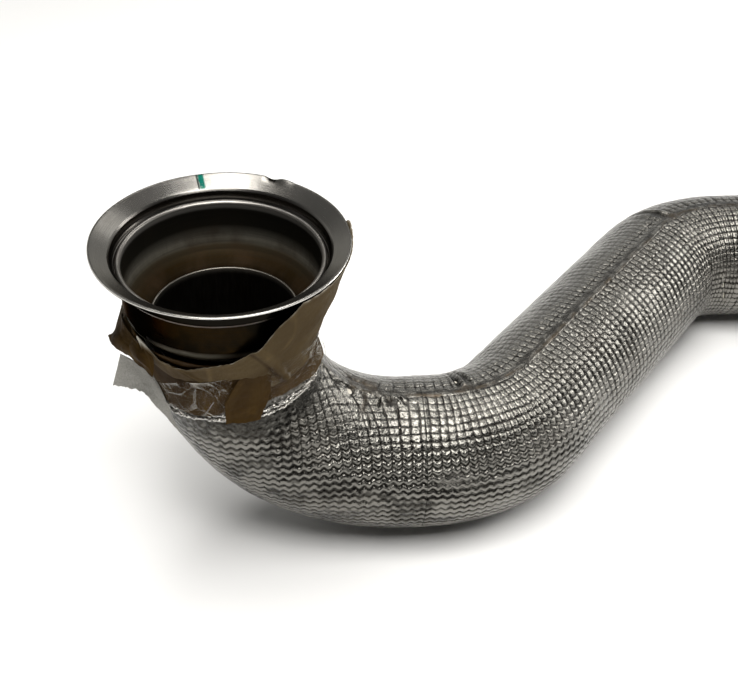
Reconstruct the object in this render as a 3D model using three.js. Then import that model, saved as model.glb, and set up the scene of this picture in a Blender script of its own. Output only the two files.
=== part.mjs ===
// Insulated exhaust flue elbow: a V-band flanged cup on a thin-wall pipe that turns
// down through 90 degrees and then takes a level S-bend. The pipe carries a fibre mat
// and two-part embossed foil shells. Kraft paper and packing tape protect the open
// neck. Everything is rigid: no piece moves against another.
// Units are millimetres, +Z is up, +X is the outlet direction.
import * as THREE from "three";
import { mergeVertices } from "three/addons/utils/BufferGeometryUtils.js";

// ---- driving dimensions ---------------------------------------------------------
// Row origin: bottom centre of the whole object's box. The rim centre lies here:
const RIM_CENTRE = new THREE.Vector3(-237.261, -115.577, 258.5);

// Centreline, starting at the rim centre and running straight down
const DROP = 72.8; // straight length below the rim plane
const BEND_1_R = 127; // 90 degree elbow, centreline radius
const LINK = 23.8; // short straight between elbow and S-bend
const BEND_2_R = 101.6; // first bend of the level S
const S_ANGLE = 49; // degrees turned by each bend of the S
const MIDDLE = 249.4; // straight run between the S-bends
const BEND_3_R = 101.6; // second bend of the level S
const OUTLET_FOIL = 56; // insulated straight after the last bend
const OUTLET_BARE = 92; // end of the bare pipe, measured from the last bend

// Pipe
const PIPE_R = 50.8; // outside radius, 4 in tube
const PIPE_WALL = 1.5;
const PIPE_TOP = 57.4; // depth of the cut end below the rim plane
const WELD_R = 52.2; // crown radius of the girth welds
const WELD_HALF = 2.6; // half width of the girth welds

// Insulation
const MAT_IN = 53.4;
const MAT_OUT = 57.2;
const FOIL_IN = 57.9;
const FOIL_OUT = 58.7;
const HEM_IN = 59.0;
const HEM_OUT = 59.7;
const HEM_WIDTH = 5;
const FOIL_START_DEG = 18.6; // angle round the first elbow where the foil begins
const JOINT_GAP = 0.4; // between neighbouring shells along the pipe
const SEAM_GAP = 0.4; // between the front and rear shells

// Inlet flange and cup
const RIM_R = 85.66;
const RIM_FLAT = 1.5; // width of the flat annulus on top of the rim
const LIP_IN_R = 73.4; // inner edge of the conical lip
const LIP_DROP = 6.6;
const BEAD_R = 1.85; // section radius of the rolled bead
const BEAD_CENTRE_R = 68.05;
const BEAD_Z = -14.5;
const CUP_OUT = 68.0;
const CUP_IN = 66.5;
const COLLAR_IN = 51.2;
const COLLAR_OUT = 52.7;
const COLLAR_END = -67;

// Outlet flange
const OUT_FLANGE_R = 58.6;
const OUT_FLANGE_LEN = 17;

// Paper and tape
const PAPER = 0.6;
const CONE_TOP_R = 86.7; // the loose paper cone leans on the rim
const CONE_SLOPE = 0.3373; // radius lost per millimetre down
const CONE_MIN_R = 61.0;

const ROUND = 24; // facets round the pipe
const RINGS = 48; // facets round flange and cup

// ---- centreline ------------------------------------------------------------------
const rad = THREE.MathUtils.degToRad;
const B1 = (Math.PI / 2) * BEND_1_R;
const B2 = rad(S_ANGLE) * BEND_2_R;
const B3 = rad(S_ANGLE) * BEND_3_R;
const S1 = DROP; // start of elbow
const S2 = S1 + B1; // end of elbow
const S3 = S2 + LINK; // start of first S bend
const S4 = S3 + B2; // end of first S bend
const S5 = S4 + MIDDLE; // start of second S bend
const S6 = S5 + B3; // end of second S bend
const S_FOIL_END = S6 + OUTLET_FOIL;
const S_PIPE_END = S6 + OUTLET_BARE;
const S_FOIL_START = S1 + rad(FOIL_START_DEG) * BEND_1_R;

// Point, tangent, top direction and near-side direction at arc length s
function frameAt(s) {
  if (s <= S1) {
    return {
      p: new THREE.Vector3(0, 0, -s),
      t: new THREE.Vector3(0, 0, -1),
      n: new THREE.Vector3(1, 0, 0),
      b: new THREE.Vector3(0, -1, 0),
    };
  }
  if (s <= S2) {
    const a = (s - S1) / BEND_1_R;
    return {
      p: new THREE.Vector3(
        BEND_1_R * (1 - Math.cos(a)),
        0,
        -S1 - BEND_1_R * Math.sin(a),
      ),
      t: new THREE.Vector3(Math.sin(a), 0, -Math.cos(a)),
      n: new THREE.Vector3(Math.cos(a), 0, Math.sin(a)),
      b: new THREE.Vector3(0, -1, 0),
    };
  }
  const z = -S1 - BEND_1_R;
  let x = BEND_1_R;
  let y = 0;
  let h = 0; // heading in the level plane
  const go = (len) => {
    x += len * Math.cos(h);
    y += len * Math.sin(h);
  };
  const turn = (len, R, sign) => {
    const h2 = h + (sign * len) / R;
    x += sign * R * (Math.sin(h2) - Math.sin(h));
    y -= sign * R * (Math.cos(h2) - Math.cos(h));
    h = h2;
  };
  go(Math.min(s - S2, LINK));
  if (s > S3) turn(Math.min(s - S3, B2), BEND_2_R, 1);
  if (s > S4) go(Math.min(s - S4, MIDDLE));
  if (s > S5) turn(Math.min(s - S5, B3), BEND_3_R, -1);
  if (s > S6) go(s - S6);
  return {
    p: new THREE.Vector3(x, y, z),
    t: new THREE.Vector3(Math.cos(h), Math.sin(h), 0),
    n: new THREE.Vector3(0, 0, 1),
    b: new THREE.Vector3(Math.sin(h), -Math.cos(h), 0),
  };
}

// Stations between two arc lengths, with extra ones through the bends
const KNOTS = [];
const bendStations = (a, b, n) => {
  for (let i = 0; i <= n; i++) KNOTS.push(a + ((b - a) * i) / n);
};
bendStations(S1, S2, 9);
bendStations(S3, S4, 5);
bendStations(S5, S6, 5);
function stations(a, b) {
  const mid = KNOTS.filter((k) => k > a + 2 && k < b - 2);
  return [a, ...mid, b].filter((v, i, all) => i === 0 || v - all[i - 1] > 1e-6);
}

// ---- mesh helpers ------------------------------------------------------------------
function finish(geometry) {
  const g = geometry.index ? geometry.toNonIndexed() : geometry;
  g.deleteAttribute("normal");
  g.deleteAttribute("uv");
  const merged = mergeVertices(g, 1e-4);
  const pos = merged.attributes.position;
  const idx = [];
  let volume = 0;
  const a = new THREE.Vector3();
  const b = new THREE.Vector3();
  const c = new THREE.Vector3();
  for (let i = 0; i < merged.index.count; i += 3) {
    const t = [0, 1, 2].map((k) => merged.index.getX(i + k));
    if (t[0] === t[1] || t[1] === t[2] || t[0] === t[2]) continue;
    idx.push(...t);
    a.fromBufferAttribute(pos, t[0]);
    b.fromBufferAttribute(pos, t[1]);
    c.fromBufferAttribute(pos, t[2]);
    volume += a.dot(b.cross(c));
  }
  if (volume < 0)
    for (let i = 0; i < idx.length; i += 3)
      [idx[i + 1], idx[i + 2]] = [idx[i + 2], idx[i + 1]];
  merged.setIndex(idx);
  merged.computeVertexNormals();
  return merged;
}

// Closed solid between two grids of points: grid[i][j], i along, j across.
// wrap joins the last column to the first.
function betweenGrids(outer, inner, wrap) {
  const ni = outer.length;
  const nj = outer[0].length;
  const verts = [];
  const index = [];
  for (const g of [outer, inner])
    for (const row of g) for (const v of row) verts.push(v.x, v.y, v.z);
  const O = (i, j) => i * nj + (j % nj);
  const I = (i, j) => ni * nj + i * nj + (j % nj);
  const quad = (a, b, c, d) => index.push(a, b, c, a, c, d);
  const last = wrap ? nj : nj - 1;
  for (let i = 0; i < ni - 1; i++)
    for (let j = 0; j < last; j++) {
      quad(O(i, j), O(i, j + 1), O(i + 1, j + 1), O(i + 1, j));
      quad(I(i, j), I(i + 1, j), I(i + 1, j + 1), I(i, j + 1));
    }
  for (let j = 0; j < last; j++) {
    quad(O(0, j + 1), O(0, j), I(0, j), I(0, j + 1));
    quad(O(ni - 1, j), O(ni - 1, j + 1), I(ni - 1, j + 1), I(ni - 1, j));
  }
  if (!wrap)
    for (let i = 0; i < ni - 1; i++) {
      quad(O(i, 0), O(i + 1, 0), I(i + 1, 0), I(i, 0));
      quad(O(i + 1, nj - 1), O(i, nj - 1), I(i, nj - 1), I(i + 1, nj - 1));
    }
  const g = new THREE.BufferGeometry();
  g.setAttribute("position", new THREE.Float32BufferAttribute(verts, 3));
  g.setIndex(index);
  return finish(g);
}

// Ring point at arc length s, angle a from the top line towards the near side
function ringPoint(s, a, r) {
  const f = frameAt(s);
  return f.p
    .clone()
    .addScaledVector(f.n, r * Math.cos(a))
    .addScaledVector(f.b, r * Math.sin(a));
}

// Tube or part-tube round the centreline. rIn and rOut are numbers or functions of s.
function sleeve(list, rIn, rOut, from = 0, to = 360, count = ROUND, gap = 0) {
  const full = to - from >= 360;
  const val = (r, s) => (typeof r === "function" ? r(s) : r);
  const grid = (r) =>
    list.map((s) => {
      const R = val(r, s);
      const off = gap / 2 / R;
      const row = [];
      const n = full ? count : count + 1;
      for (let j = 0; j < n; j++) {
        let a = rad(from + ((to - from) * j) / count);
        if (!full && j === 0) a += off;
        if (!full && j === count) a -= off;
        row.push(ringPoint(s, a, R));
      }
      return row;
    });
  return betweenGrids(grid(rOut), grid(rIn), full);
}

// Ring turned about the cup's axis from a closed profile of [radius, z]
function turned(profile, facets = RINGS) {
  const pts = [...profile, profile[0]].map(([r, z]) => new THREE.Vector2(r, z));
  return finish(new THREE.LatheGeometry(pts, facets).rotateX(Math.PI / 2));
}

// Thin sheet from a surface function of (u, v) with a normal offset outwards
function sheet(point, nu, nv, thickness) {
  const lower = [];
  const upper = [];
  const h = 1e-3;
  for (let i = 0; i <= nu; i++) {
    const a = [];
    const b = [];
    for (let j = 0; j <= nv; j++) {
      const u = i / nu;
      const v = j / nv;
      const p = point(u, v);
      const du = point(Math.min(u + h, 1), v).sub(point(Math.max(u - h, 0), v));
      const dv = point(u, Math.min(v + h, 1)).sub(point(u, Math.max(v - h, 0)));
      const n = du.cross(dv).normalize();
      a.push(p);
      b.push(p.clone().addScaledVector(n, thickness));
    }
    lower.push(a);
    upper.push(b);
  }
  return betweenGrids(upper, lower, false);
}

const smooth = (x) => x * x * (3 - 2 * x);
// Piecewise linear table lookup
function table(rows, x) {
  if (x <= rows[0][0]) return rows[0][1];
  for (let i = 1; i < rows.length; i++)
    if (x <= rows[i][0]) {
      const [x0, y0] = rows[i - 1];
      const [x1, y1] = rows[i];
      return y0 + ((y1 - y0) * (x - x0)) / (x1 - x0);
    }
  return rows[rows.length - 1][1];
}

// ---- materials -----------------------------------------------------------------------
const material = (color, roughness, metalness, extra = {}) =>
  new THREE.MeshStandardMaterial({ color, roughness, metalness, ...extra });
const satinSteel = () => material(0x9a9690, 0.35, 1);
const heatedSteel = () => material(0x5a4c40, 0.3, 1);
const weldSteel = () => material(0x6e675f, 0.5, 1);
const pipeSteel = () => material(0x3a332c, 0.45, 1);
const fibre = () => material(0xd8d4c8, 0.95, 0);
const foil = () => material(0xa8a29a, 0.28, 1);
const brightFoil = () => material(0xc8c4bc, 0.22, 1);
const kraft = () => material(0x7a6138, 0.85, 0);
const clearTape = () =>
  material(0xb8ab92, 0.2, 0, { transparent: true, opacity: 0.45 });
const dustyTape = () =>
  material(0x9b998f, 0.6, 0, { transparent: true, opacity: 0.8 });

// ---- assembly -------------------------------------------------------------------------
const elbow = new THREE.Group();
elbow.name = "flue_elbow";
elbow.position.copy(RIM_CENTRE);

function add(name, geometry, mat) {
  const mesh = new THREE.Mesh(geometry, mat);
  mesh.name = name;
  elbow.add(mesh);
  return mesh;
}

// V-band flange: flat-topped rim, conical lip, step and seat for the rolled cup edge
add(
  "inlet_flange",
  turned([
    [RIM_R - RIM_FLAT, 0],
    [LIP_IN_R + 0.6, -LIP_DROP + 0.6],
    [LIP_IN_R - 0.9, -LIP_DROP - 0.8],
    [LIP_IN_R - 1.4, -12.6],
    [LIP_IN_R - 2.2, -14.0],
    [70.3, -14.6],
    [70.3, -16.2],
    [LIP_IN_R + 0.2, -15.4],
    [LIP_IN_R + 0.8, -9.2],
    [RIM_R, -1.5],
    [RIM_R, 0],
  ]),
  satinSteel(),
);

// Spun cup: rolled bead on top, straight wall, knuckle, cone and pipe collar
const bead = [];
for (let i = 0; i <= 7; i++) {
  // from the outside foot of the bead over its crown to the inside
  const a = rad(-30 + (210 * i) / 7);
  bead.push([
    BEAD_CENTRE_R + BEAD_R * Math.cos(a),
    BEAD_Z + BEAD_R * Math.sin(a),
  ]);
}
add(
  "inlet_cup",
  turned([
    ...bead,
    [CUP_IN, -18.4],
    [CUP_IN, -41],
    [65.6, -46],
    [62.6, -50.2],
    [53.4, -56.4],
    [COLLAR_IN, -58.6],
    [COLLAR_IN, COLLAR_END],
    [COLLAR_OUT, COLLAR_END],
    [COLLAR_OUT, -59.6],
    [54.4, -57.8],
    [63.6, -51.4],
    [67.0, -46.6],
    [CUP_OUT, -41],
    [CUP_OUT, -17.6],
  ]),
  heatedSteel(),
);

add(
  "weld_flange_cup",
  turned(
    [
      [68.4, -17.2],
      [71.6, -16.8],
      [71.0, -18.2],
      [68.4, -20.2],
    ],
    RINGS,
  ),
  weldSteel(),
);

add(
  "weld_cup_pipe",
  turned(
    [
      [51.2, -67.4],
      [52.9, -67.5],
      [52.5, -69.2],
      [51.2, -70.6],
    ],
    ROUND * 2,
  ),
  weldSteel(),
);

// Bare pipe in five lengths
const P0 = PIPE_R - PIPE_WALL;
const cut = JOINT_GAP / 2;
const pipes = [
  ["pipe_inlet_elbow", PIPE_TOP, S2 + LINK / 2 - cut],
  ["pipe_entry_bend", S2 + LINK / 2 + cut, S4 + 6 - cut],
  ["pipe_middle", S4 + 6 + cut, S5 - 6 - cut],
  ["pipe_exit_bend", S5 - 6 + cut, S6 + 8 - cut],
  ["pipe_outlet", S6 + 8 + cut, S_PIPE_END],
];
for (const [name, a, b] of pipes)
  add(name, sleeve(stations(a, b), P0, PIPE_R), pipeSteel());

// Girth welds, one over each butt joint
const joints = [
  ["weld_elbow", S2 + LINK / 2],
  ["weld_entry_bend", S4 + 6],
  ["weld_exit_bend", S5 - 6],
  ["weld_outlet", S6 + 8],
];
for (const [name, s] of joints)
  add(
    name,
    sleeve(
      [s - WELD_HALF, s, s + WELD_HALF],
      PIPE_R + 0.3,
      (v) => (v === s ? WELD_R : WELD_R - 0.6),
    ),
    weldSteel(),
  );

// Fibre mat and embossed foil shells, front and rear, in three lengths
const SHELL_1 = S2 + LINK * 0.6;
const SHELL_2 = S5 - 4;
const lengths = [
  ["inlet", 72, S_FOIL_START, SHELL_1 - cut],
  ["middle", SHELL_1 + cut, SHELL_1 + cut, SHELL_2 - cut],
  ["outlet", SHELL_2 + cut, SHELL_2 + cut, S_FOIL_END],
];
const sides = [
  ["front", 0, 180],
  ["rear", 180, 360],
];
for (const [where, matFrom, foilFrom, to] of lengths)
  for (const [side, a0, a1] of sides) {
    add(
      `mat_${where}_${side}`,
      sleeve(stations(matFrom, to), MAT_IN, MAT_OUT, a0, a1, 8, SEAM_GAP),
      fibre(),
    );
    add(
      `foil_${where}_${side}`,
      sleeve(
        stations(foilFrom, to),
        FOIL_IN,
        FOIL_OUT,
        a0,
        a1,
        ROUND / 2,
        SEAM_GAP,
      ),
      foil(),
    );
  }

// Crimped hems that close the two ends of the foil
const hemRise = (s0) => (s) => (Math.abs(s - s0) < 0.01 ? HEM_OUT : HEM_IN + 0.4);
add(
  "foil_hem_inlet",
  sleeve(
    [S_FOIL_START, S_FOIL_START + HEM_WIDTH / 2, S_FOIL_START + HEM_WIDTH],
    HEM_IN,
    hemRise(S_FOIL_START + HEM_WIDTH / 2),
  ),
  brightFoil(),
);
// The outlet hem turns in over the end of the mat down to the bare pipe
add(
  "foil_hem_outlet",
  sleeve(
    [S_FOIL_END + 0.4, S_FOIL_END + 3, S_FOIL_END + 9],
    51.2,
    (s) =>
      table(
        [
          [S_FOIL_END + 0.4, 58.4],
          [S_FOIL_END + 3, 57.6],
          [S_FOIL_END + 9, 52.2],
        ],
        s,
      ),
  ),
  brightFoil(),
);

// Outlet flange: V-band ring on the bare end with a flat sealing face
const OF = S6 + OUTLET_BARE + 0.4;
add(
  "outlet_flange",
  sleeve(
    [OF - OUT_FLANGE_LEN, OF - 9, OF - 6.5, OF - 1.2, OF],
    51.2,
    (s) =>
      table(
        [
          [OF - OUT_FLANGE_LEN, 53.2],
          [OF - 9, 53.4],
          [OF - 6.5, 55.2],
          [OF - 1.2, OUT_FLANGE_R],
          [OF, OUT_FLANGE_R],
        ],
        s,
      ),
    0,
    360,
    RINGS,
  ),
  satinSteel(),
);
add(
  "weld_outlet_flange",
  sleeve(
    [OF - OUT_FLANGE_LEN - 3.4, OF - OUT_FLANGE_LEN - 1.6, OF - OUT_FLANGE_LEN - 0.4],
    PIPE_R + 0.4,
    (s) =>
      table(
        [
          [OF - OUT_FLANGE_LEN - 3.4, 51.7],
          [OF - OUT_FLANGE_LEN - 1.6, 52.6],
          [OF - OUT_FLANGE_LEN - 0.4, 53.2],
        ],
        s,
      ),
  ),
  weldSteel(),
);

// ---- shipping protection: kraft paper and packing tape --------------------------------
// Paper band round the neck, from the cup's knuckle down to the foil hem
const bandR = [
  [50, 68.7],
  [56, 66.0],
  [66, 61.6],
  [73, 58.6],
  [110, 58.6],
];
const bandS = [50.5, 56, 66, 73, 80, S1 + rad(9) * BEND_1_R, S1 + rad(17.2) * BEND_1_R];
add(
  "kraft_band",
  sleeve(
    bandS,
    (s) => table(bandR, s),
    (s) => table(bandR, s) + PAPER,
  ),
  kraft(),
);

// Loose paper cone on the outlet side: it leans on the rim and narrows to the neck
const coneR = (z) => Math.max(CONE_TOP_R + CONE_SLOPE * z, CONE_MIN_R);
const coneTop = [
  [-122, -54],
  [-113, -58],
  [-80, -42],
  [-69, -32],
  [-62, -17],
  [-56, -1],
  [-20, 0.5],
  [2, 2],
  [14, 3.5],
  [24, 2],
  [40, -6],
  [62, -26],
];
add(
  "kraft_cone",
  sheet(
    (u, v) => {
      const deg = -122 + 184 * u;
      const top = table(coneTop, deg);
      const foot = table([[-122, -62], [-90, -72], [-60, -80], [62, -80]], deg);
      const z = top + (foot - top) * v;
      const R = coneR(z) + 0.1;
      const a = rad(deg);
      return new THREE.Vector3(R * Math.cos(a), R * Math.sin(a), z);
    },
    26,
    5,
    -PAPER,
  ),
  kraft(),
);

// Torn tongue of paper hanging over the band at the near side
add(
  "kraft_tongue",
  sheet(
    (u, v) => {
      const a = rad(62 + 29 * u); // measured from the top line
      const s = 77.5 + (S1 + rad(19.4) * BEND_1_R - 77.5) * v;
      return ringPoint(s, a, 62.3);
    },
    5,
    5,
    PAPER,
  ),
  kraft(),
);

// Crumpled scrap of paper standing off the cup at the far left of the neck
add(
  "kraft_scrap",
  sheet(
    (u, v) => {
      const a = rad(-168 + 40 * u);
      const z = -34 - 10 * u - (27 - 9 * u) * v;
      const loose = coneR(z) + 1.6 + 6 * Math.sin(Math.PI * u);
      const held = table(bandR, -z) + PAPER + 0.6;
      const R = loose + (held - loose) * smooth(v);
      return new THREE.Vector3(R * Math.cos(a), R * Math.sin(a), z);
    },
    8,
    4,
    -PAPER,
  ),
  kraft(),
);

// Clear tape over the band, either side of the tongue
const TAPE = 0.4;
for (const [name, from, to, start] of [
  ["tape_right", -14, 59, 88],
  ["tape_left", 94, 172, 76],
])
  add(
    name,
    sheet(
      (u, v) => {
        const s = start + (S1 + rad(15.4) * BEND_1_R - start) * v;
        return ringPoint(s, rad(from + (to - from) * u), 62.4);
      },
      8,
      5,
      TAPE,
    ),
    clearTape(),
  );

// Stiff dusty flap of tape standing out behind the neck
const flap = [
  [-70.5, -25, -76],
  [-77.3, -25, -100],
  [-60.4, -25, -107],
  [-53.4, -29, -108],
  [-56.9, -29, -84],
].map((q) => new THREE.Vector3(...q));
add(
  "tape_flap",
  sheet(
    (u, v) => {
      const topEdge = flap[0].clone().lerp(flap[4], u);
      const lowEdge = flap[1].clone().lerp(flap[3], u);
      const p = topEdge.lerp(lowEdge, v);
      p.y -= 2.2 * Math.sin(Math.PI * u) * smooth(v);
      return p;
    },
    4,
    4,
    0.8,
  ),
  dustyTape(),
);

export default elbow;
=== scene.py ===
"""Looks of the flue elbow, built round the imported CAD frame.

Inside this file lengths are millimetres from the centre of the inlet rim, with the row frame's axes.
build() turns them into the row frame in metres. Everything is deterministic: the noise below is a fixed hash.
"""
import math

import bpy
import numpy as np
from mathutils import Matrix, Vector


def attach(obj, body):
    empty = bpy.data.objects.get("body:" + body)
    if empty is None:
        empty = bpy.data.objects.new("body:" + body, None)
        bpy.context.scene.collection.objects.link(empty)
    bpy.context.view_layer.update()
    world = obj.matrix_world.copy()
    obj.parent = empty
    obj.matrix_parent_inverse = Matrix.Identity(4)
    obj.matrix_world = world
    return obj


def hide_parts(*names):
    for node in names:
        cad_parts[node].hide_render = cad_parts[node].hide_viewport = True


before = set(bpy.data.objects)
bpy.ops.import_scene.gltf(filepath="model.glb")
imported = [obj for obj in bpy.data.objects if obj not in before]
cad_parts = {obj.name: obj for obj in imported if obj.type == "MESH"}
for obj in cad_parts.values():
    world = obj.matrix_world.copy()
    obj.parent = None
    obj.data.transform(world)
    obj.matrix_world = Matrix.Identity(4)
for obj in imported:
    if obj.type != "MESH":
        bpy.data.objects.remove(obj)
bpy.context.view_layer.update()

RIM = np.array([-237.261, -115.577, 258.5])
RAD = math.pi / 180

# ---- sizes shared with the CAD frame ---------------------------------------------------
DROP, R1, LINK, R2, R3 = 72.8, 127.0, 23.8, 101.6, 101.6
TURN = 49 * RAD
MIDDLE = 249.4
S1 = DROP
S2 = S1 + R1 * math.pi / 2
S3 = S2 + LINK
S4 = S3 + R2 * TURN
B2 = S4 - S3
S5 = S4 + MIDDLE
S6 = S5 + R3 * TURN
FOIL_END = S6 + 56
PIPE_END = S6 + 92
SHELL_1 = S2 + LINK * 0.6
SHELL_2 = S5 - 4
ZL = -S1 - R1

# ---- camera -------------------------------------------------------------------------------
cam_data = bpy.data.cameras.new("camera")
cam = bpy.data.objects.new("camera", cam_data)
bpy.context.scene.collection.objects.link(cam)
right = Vector((0.99579714, -0.08495375, 0.0342186))
up = Vector((0.02726554, 0.63166413, 0.77476255))
fwd = Vector((0.08743365, 0.77057335, -0.63132565))
cam.matrix_world = Matrix(
    (
        (right.x, up.x, -fwd.x, -0.205331),
        (right.y, up.y, -fwd.y, -0.719409),
        (right.z, up.z, -fwd.z, 0.655911),
        (0, 0, 0, 1),
    )
)
cam_data.sensor_width = 36
cam_data.lens = 1093.442 / 738 * 36
cam_data.clip_start = 0.01
bpy.context.scene.camera = cam


# ---- helpers: centreline, noise, meshes ---------------------------------------------------
def frames(s):
    """Point, tangent, top direction and near-side direction of the centreline at arc lengths s."""
    s = np.asarray(s, float)
    z0 = np.zeros_like(s)
    a = np.clip(s - S1, 0, S2 - S1) / R1
    l0 = np.clip(s - S2, 0, LINK)
    h2 = np.clip(s - S3, 0, S4 - S3) / R2
    l1 = np.clip(s - S4, 0, MIDDLE)
    h3 = np.clip(s - S5, 0, S6 - S5) / R3
    l2 = np.clip(s - S6, 0, None)
    x = R1 * (1 - np.cos(a)) + l0 + R2 * np.sin(h2) + l1 * math.cos(TURN)
    x = x + R3 * (math.sin(TURN) - np.sin(TURN - h3)) + l2
    y = R2 * (1 - np.cos(h2)) + l1 * math.sin(TURN) + R3 * (np.cos(TURN - h3) - math.cos(TURN))
    z = -np.minimum(s, S1) - R1 * np.sin(a)
    h = h2 - h3
    level = s > S2
    p = np.stack([x, y, z], -1)
    t = np.where(level[..., None], np.stack([np.cos(h), np.sin(h), z0], -1), np.stack([np.sin(a), z0, -np.cos(a)], -1))
    n = np.where(level[..., None], np.stack([z0, z0, z0 + 1], -1), np.stack([np.cos(a), z0, np.sin(a)], -1))
    b = np.where(level[..., None], np.stack([np.sin(h), -np.cos(h), z0], -1), np.stack([z0, z0 - 1, z0], -1))
    return p, t, n, b


def on_pipe(s, deg, r):
    p, _, n, b = frames(s)
    a = np.asarray(deg, float) * RAD
    r = np.asarray(r, float)
    return p + (r * np.cos(a))[..., None] * n + (r * np.sin(a))[..., None] * b


def polar(deg, r, z):
    a = np.asarray(deg, float) * RAD
    return np.stack(np.broadcast_arrays(r * np.cos(a), r * np.sin(a), z), -1)


def hash01(i, j, k, seed):
    i, j, k = (np.asarray(v).astype(np.int64) for v in (i, j, k))
    h = (i * 374761393 + j * 668265263 + k * 362437 + seed * 974711) & 0xFFFFFFFF
    h = ((h ^ (h >> 13)) * 1274126177) & 0xFFFFFFFF
    h = ((h ^ (h >> 15)) * 2246822519) & 0xFFFFFFFF
    return ((h ^ (h >> 16)) & 0xFFFFFF) / float(0xFFFFFF)


def noise(x, y, z=0.0, seed=0):
    """Smooth lattice noise from -1 to 1."""
    x, y, z = np.broadcast_arrays(np.asarray(x, float), np.asarray(y, float), np.asarray(z, float))
    i, j, k = np.floor(x), np.floor(y), np.floor(z)
    u, v, w = x - i, y - j, z - k
    u, v, w = (q * q * q * (q * (q * 6 - 15) + 10) for q in (u, v, w))
    out = 0
    for di in (0, 1):
        for dj in (0, 1):
            for dk in (0, 1):
                f = (u if di else 1 - u) * (v if dj else 1 - v) * (w if dk else 1 - w)
                out = out + f * hash01(i + di, j + dj, k + dk, seed)
    return out * 2 - 1


def fbm(x, y, z=0.0, seed=0, octaves=3, gain=0.5):
    out, amp, f = 0, 1.0, 1.0
    for o in range(octaves):
        out = out + amp * noise(np.asarray(x) * f, np.asarray(y) * f, np.asarray(z) * f, seed + 17 * o)
        amp *= gain
        f *= 2.03
    return out


def ridge(x, y, z=0.0, seed=0, octaves=2):
    """Sharp creases: 1 on a crease line, falling to 0 between them."""
    out, amp, f, tot = 0, 1.0, 1.0, 0.0
    for o in range(octaves):
        out = out + amp * (1 - np.abs(noise(np.asarray(x) * f, np.asarray(y) * f, np.asarray(z) * f, seed + 31 * o)) * 2).clip(0, 1)
        tot += amp
        amp *= 0.5
        f *= 2.1
    return out / tot


def facets(x, y, seed=0, jitter=0.9, slope=1.0):
    """Crumpled sheet: a height made of tilted flat facets that meet along creases. x, y in cells."""
    x, y = np.broadcast_arrays(np.asarray(x, float), np.asarray(y, float))
    i, j = np.floor(x), np.floor(y)
    best = np.full(x.shape, -1e9)
    for di in (-1, 0, 1):
        for dj in (-1, 0, 1):
            ci, cj = i + di, j + dj
            px = ci + 0.5 + jitter * (hash01(ci, cj, 0, seed) - 0.5)
            py = cj + 0.5 + jitter * (hash01(ci, cj, 1, seed) - 0.5)
            h = 1.2 * hash01(ci, cj, 2, seed) - slope * np.hypot(x - px, y - py)
            best = np.maximum(best, h)
    return best


def smooth(e0, e1, x):
    t = np.clip((np.asarray(x, float) - e0) / (e1 - e0), 0, 1)
    return t * t * (3 - 2 * t)


def bump(x, c, w):
    """1 at c, falling smoothly to 0 at c plus or minus w."""
    t = np.clip(1 - np.abs(np.asarray(x, float) - c) / w, 0, 1)
    return t * t * (3 - 2 * t)


def table(rows, x):
    return np.interp(x, [r[0] for r in rows], [r[1] for r in rows])


def pinch(S, A):
    """How far foil and mat are pressed in on the inner side of the two level bends."""
    return 4.4 * bump(S, 678, 40) * bump(A, 92, 52) + 2.6 * bump(S, 340, 36) * bump(A, -92, 52)


def build(name, verts, quads, ngons=(), flat=(), attrs=None):
    """A mesh object from millimetre vertices. quads is an (n, 4) array and ngons a list. Faces are turned outwards."""
    verts = (np.asarray(verts, float) + RIM) / 1000
    quads = np.asarray(quads, np.int64).reshape(-1, 4)
    a, b, c, d = (verts[quads[:, k]] for k in range(4))
    volume = np.einsum("ij,ij->i", a, np.cross(b, c)).sum() + np.einsum("ij,ij->i", a, np.cross(c, d)).sum()
    if volume < 0:
        quads = quads[:, ::-1]
        ngons = [g[::-1] for g in ngons]
    loops = np.concatenate([quads.ravel()] + [np.asarray(g, np.int64) for g in ngons]) if len(ngons) else quads.ravel()
    sizes = np.concatenate([np.full(len(quads), 4), np.array([len(g) for g in ngons], int)]) if len(ngons) else np.full(len(quads), 4)
    starts = np.concatenate([[0], np.cumsum(sizes)[:-1]])
    me = bpy.data.meshes.new(name)
    me.vertices.add(len(verts))
    me.vertices.foreach_set("co", verts.astype(np.float32).ravel())
    me.loops.add(len(loops))
    me.loops.foreach_set("vertex_index", loops.astype(np.int32))
    me.polygons.add(len(starts))
    me.polygons.foreach_set("loop_start", starts.astype(np.int32))
    smooth_faces = np.ones(len(starts), bool)
    if len(flat):
        smooth_faces[np.asarray(flat, int)] = False
    smooth_faces[len(quads):] = False
    me.polygons.foreach_set("use_smooth", smooth_faces)
    me.update(calc_edges=True)
    for key, values in (attrs or {}).items():
        layer = me.attributes.new(key, "FLOAT", "POINT")
        layer.data.foreach_set("value", np.asarray(values, np.float32).ravel())
    me.validate()
    ob = bpy.data.objects.new(name, me)
    bpy.context.scene.collection.objects.link(ob)
    return ob


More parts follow.
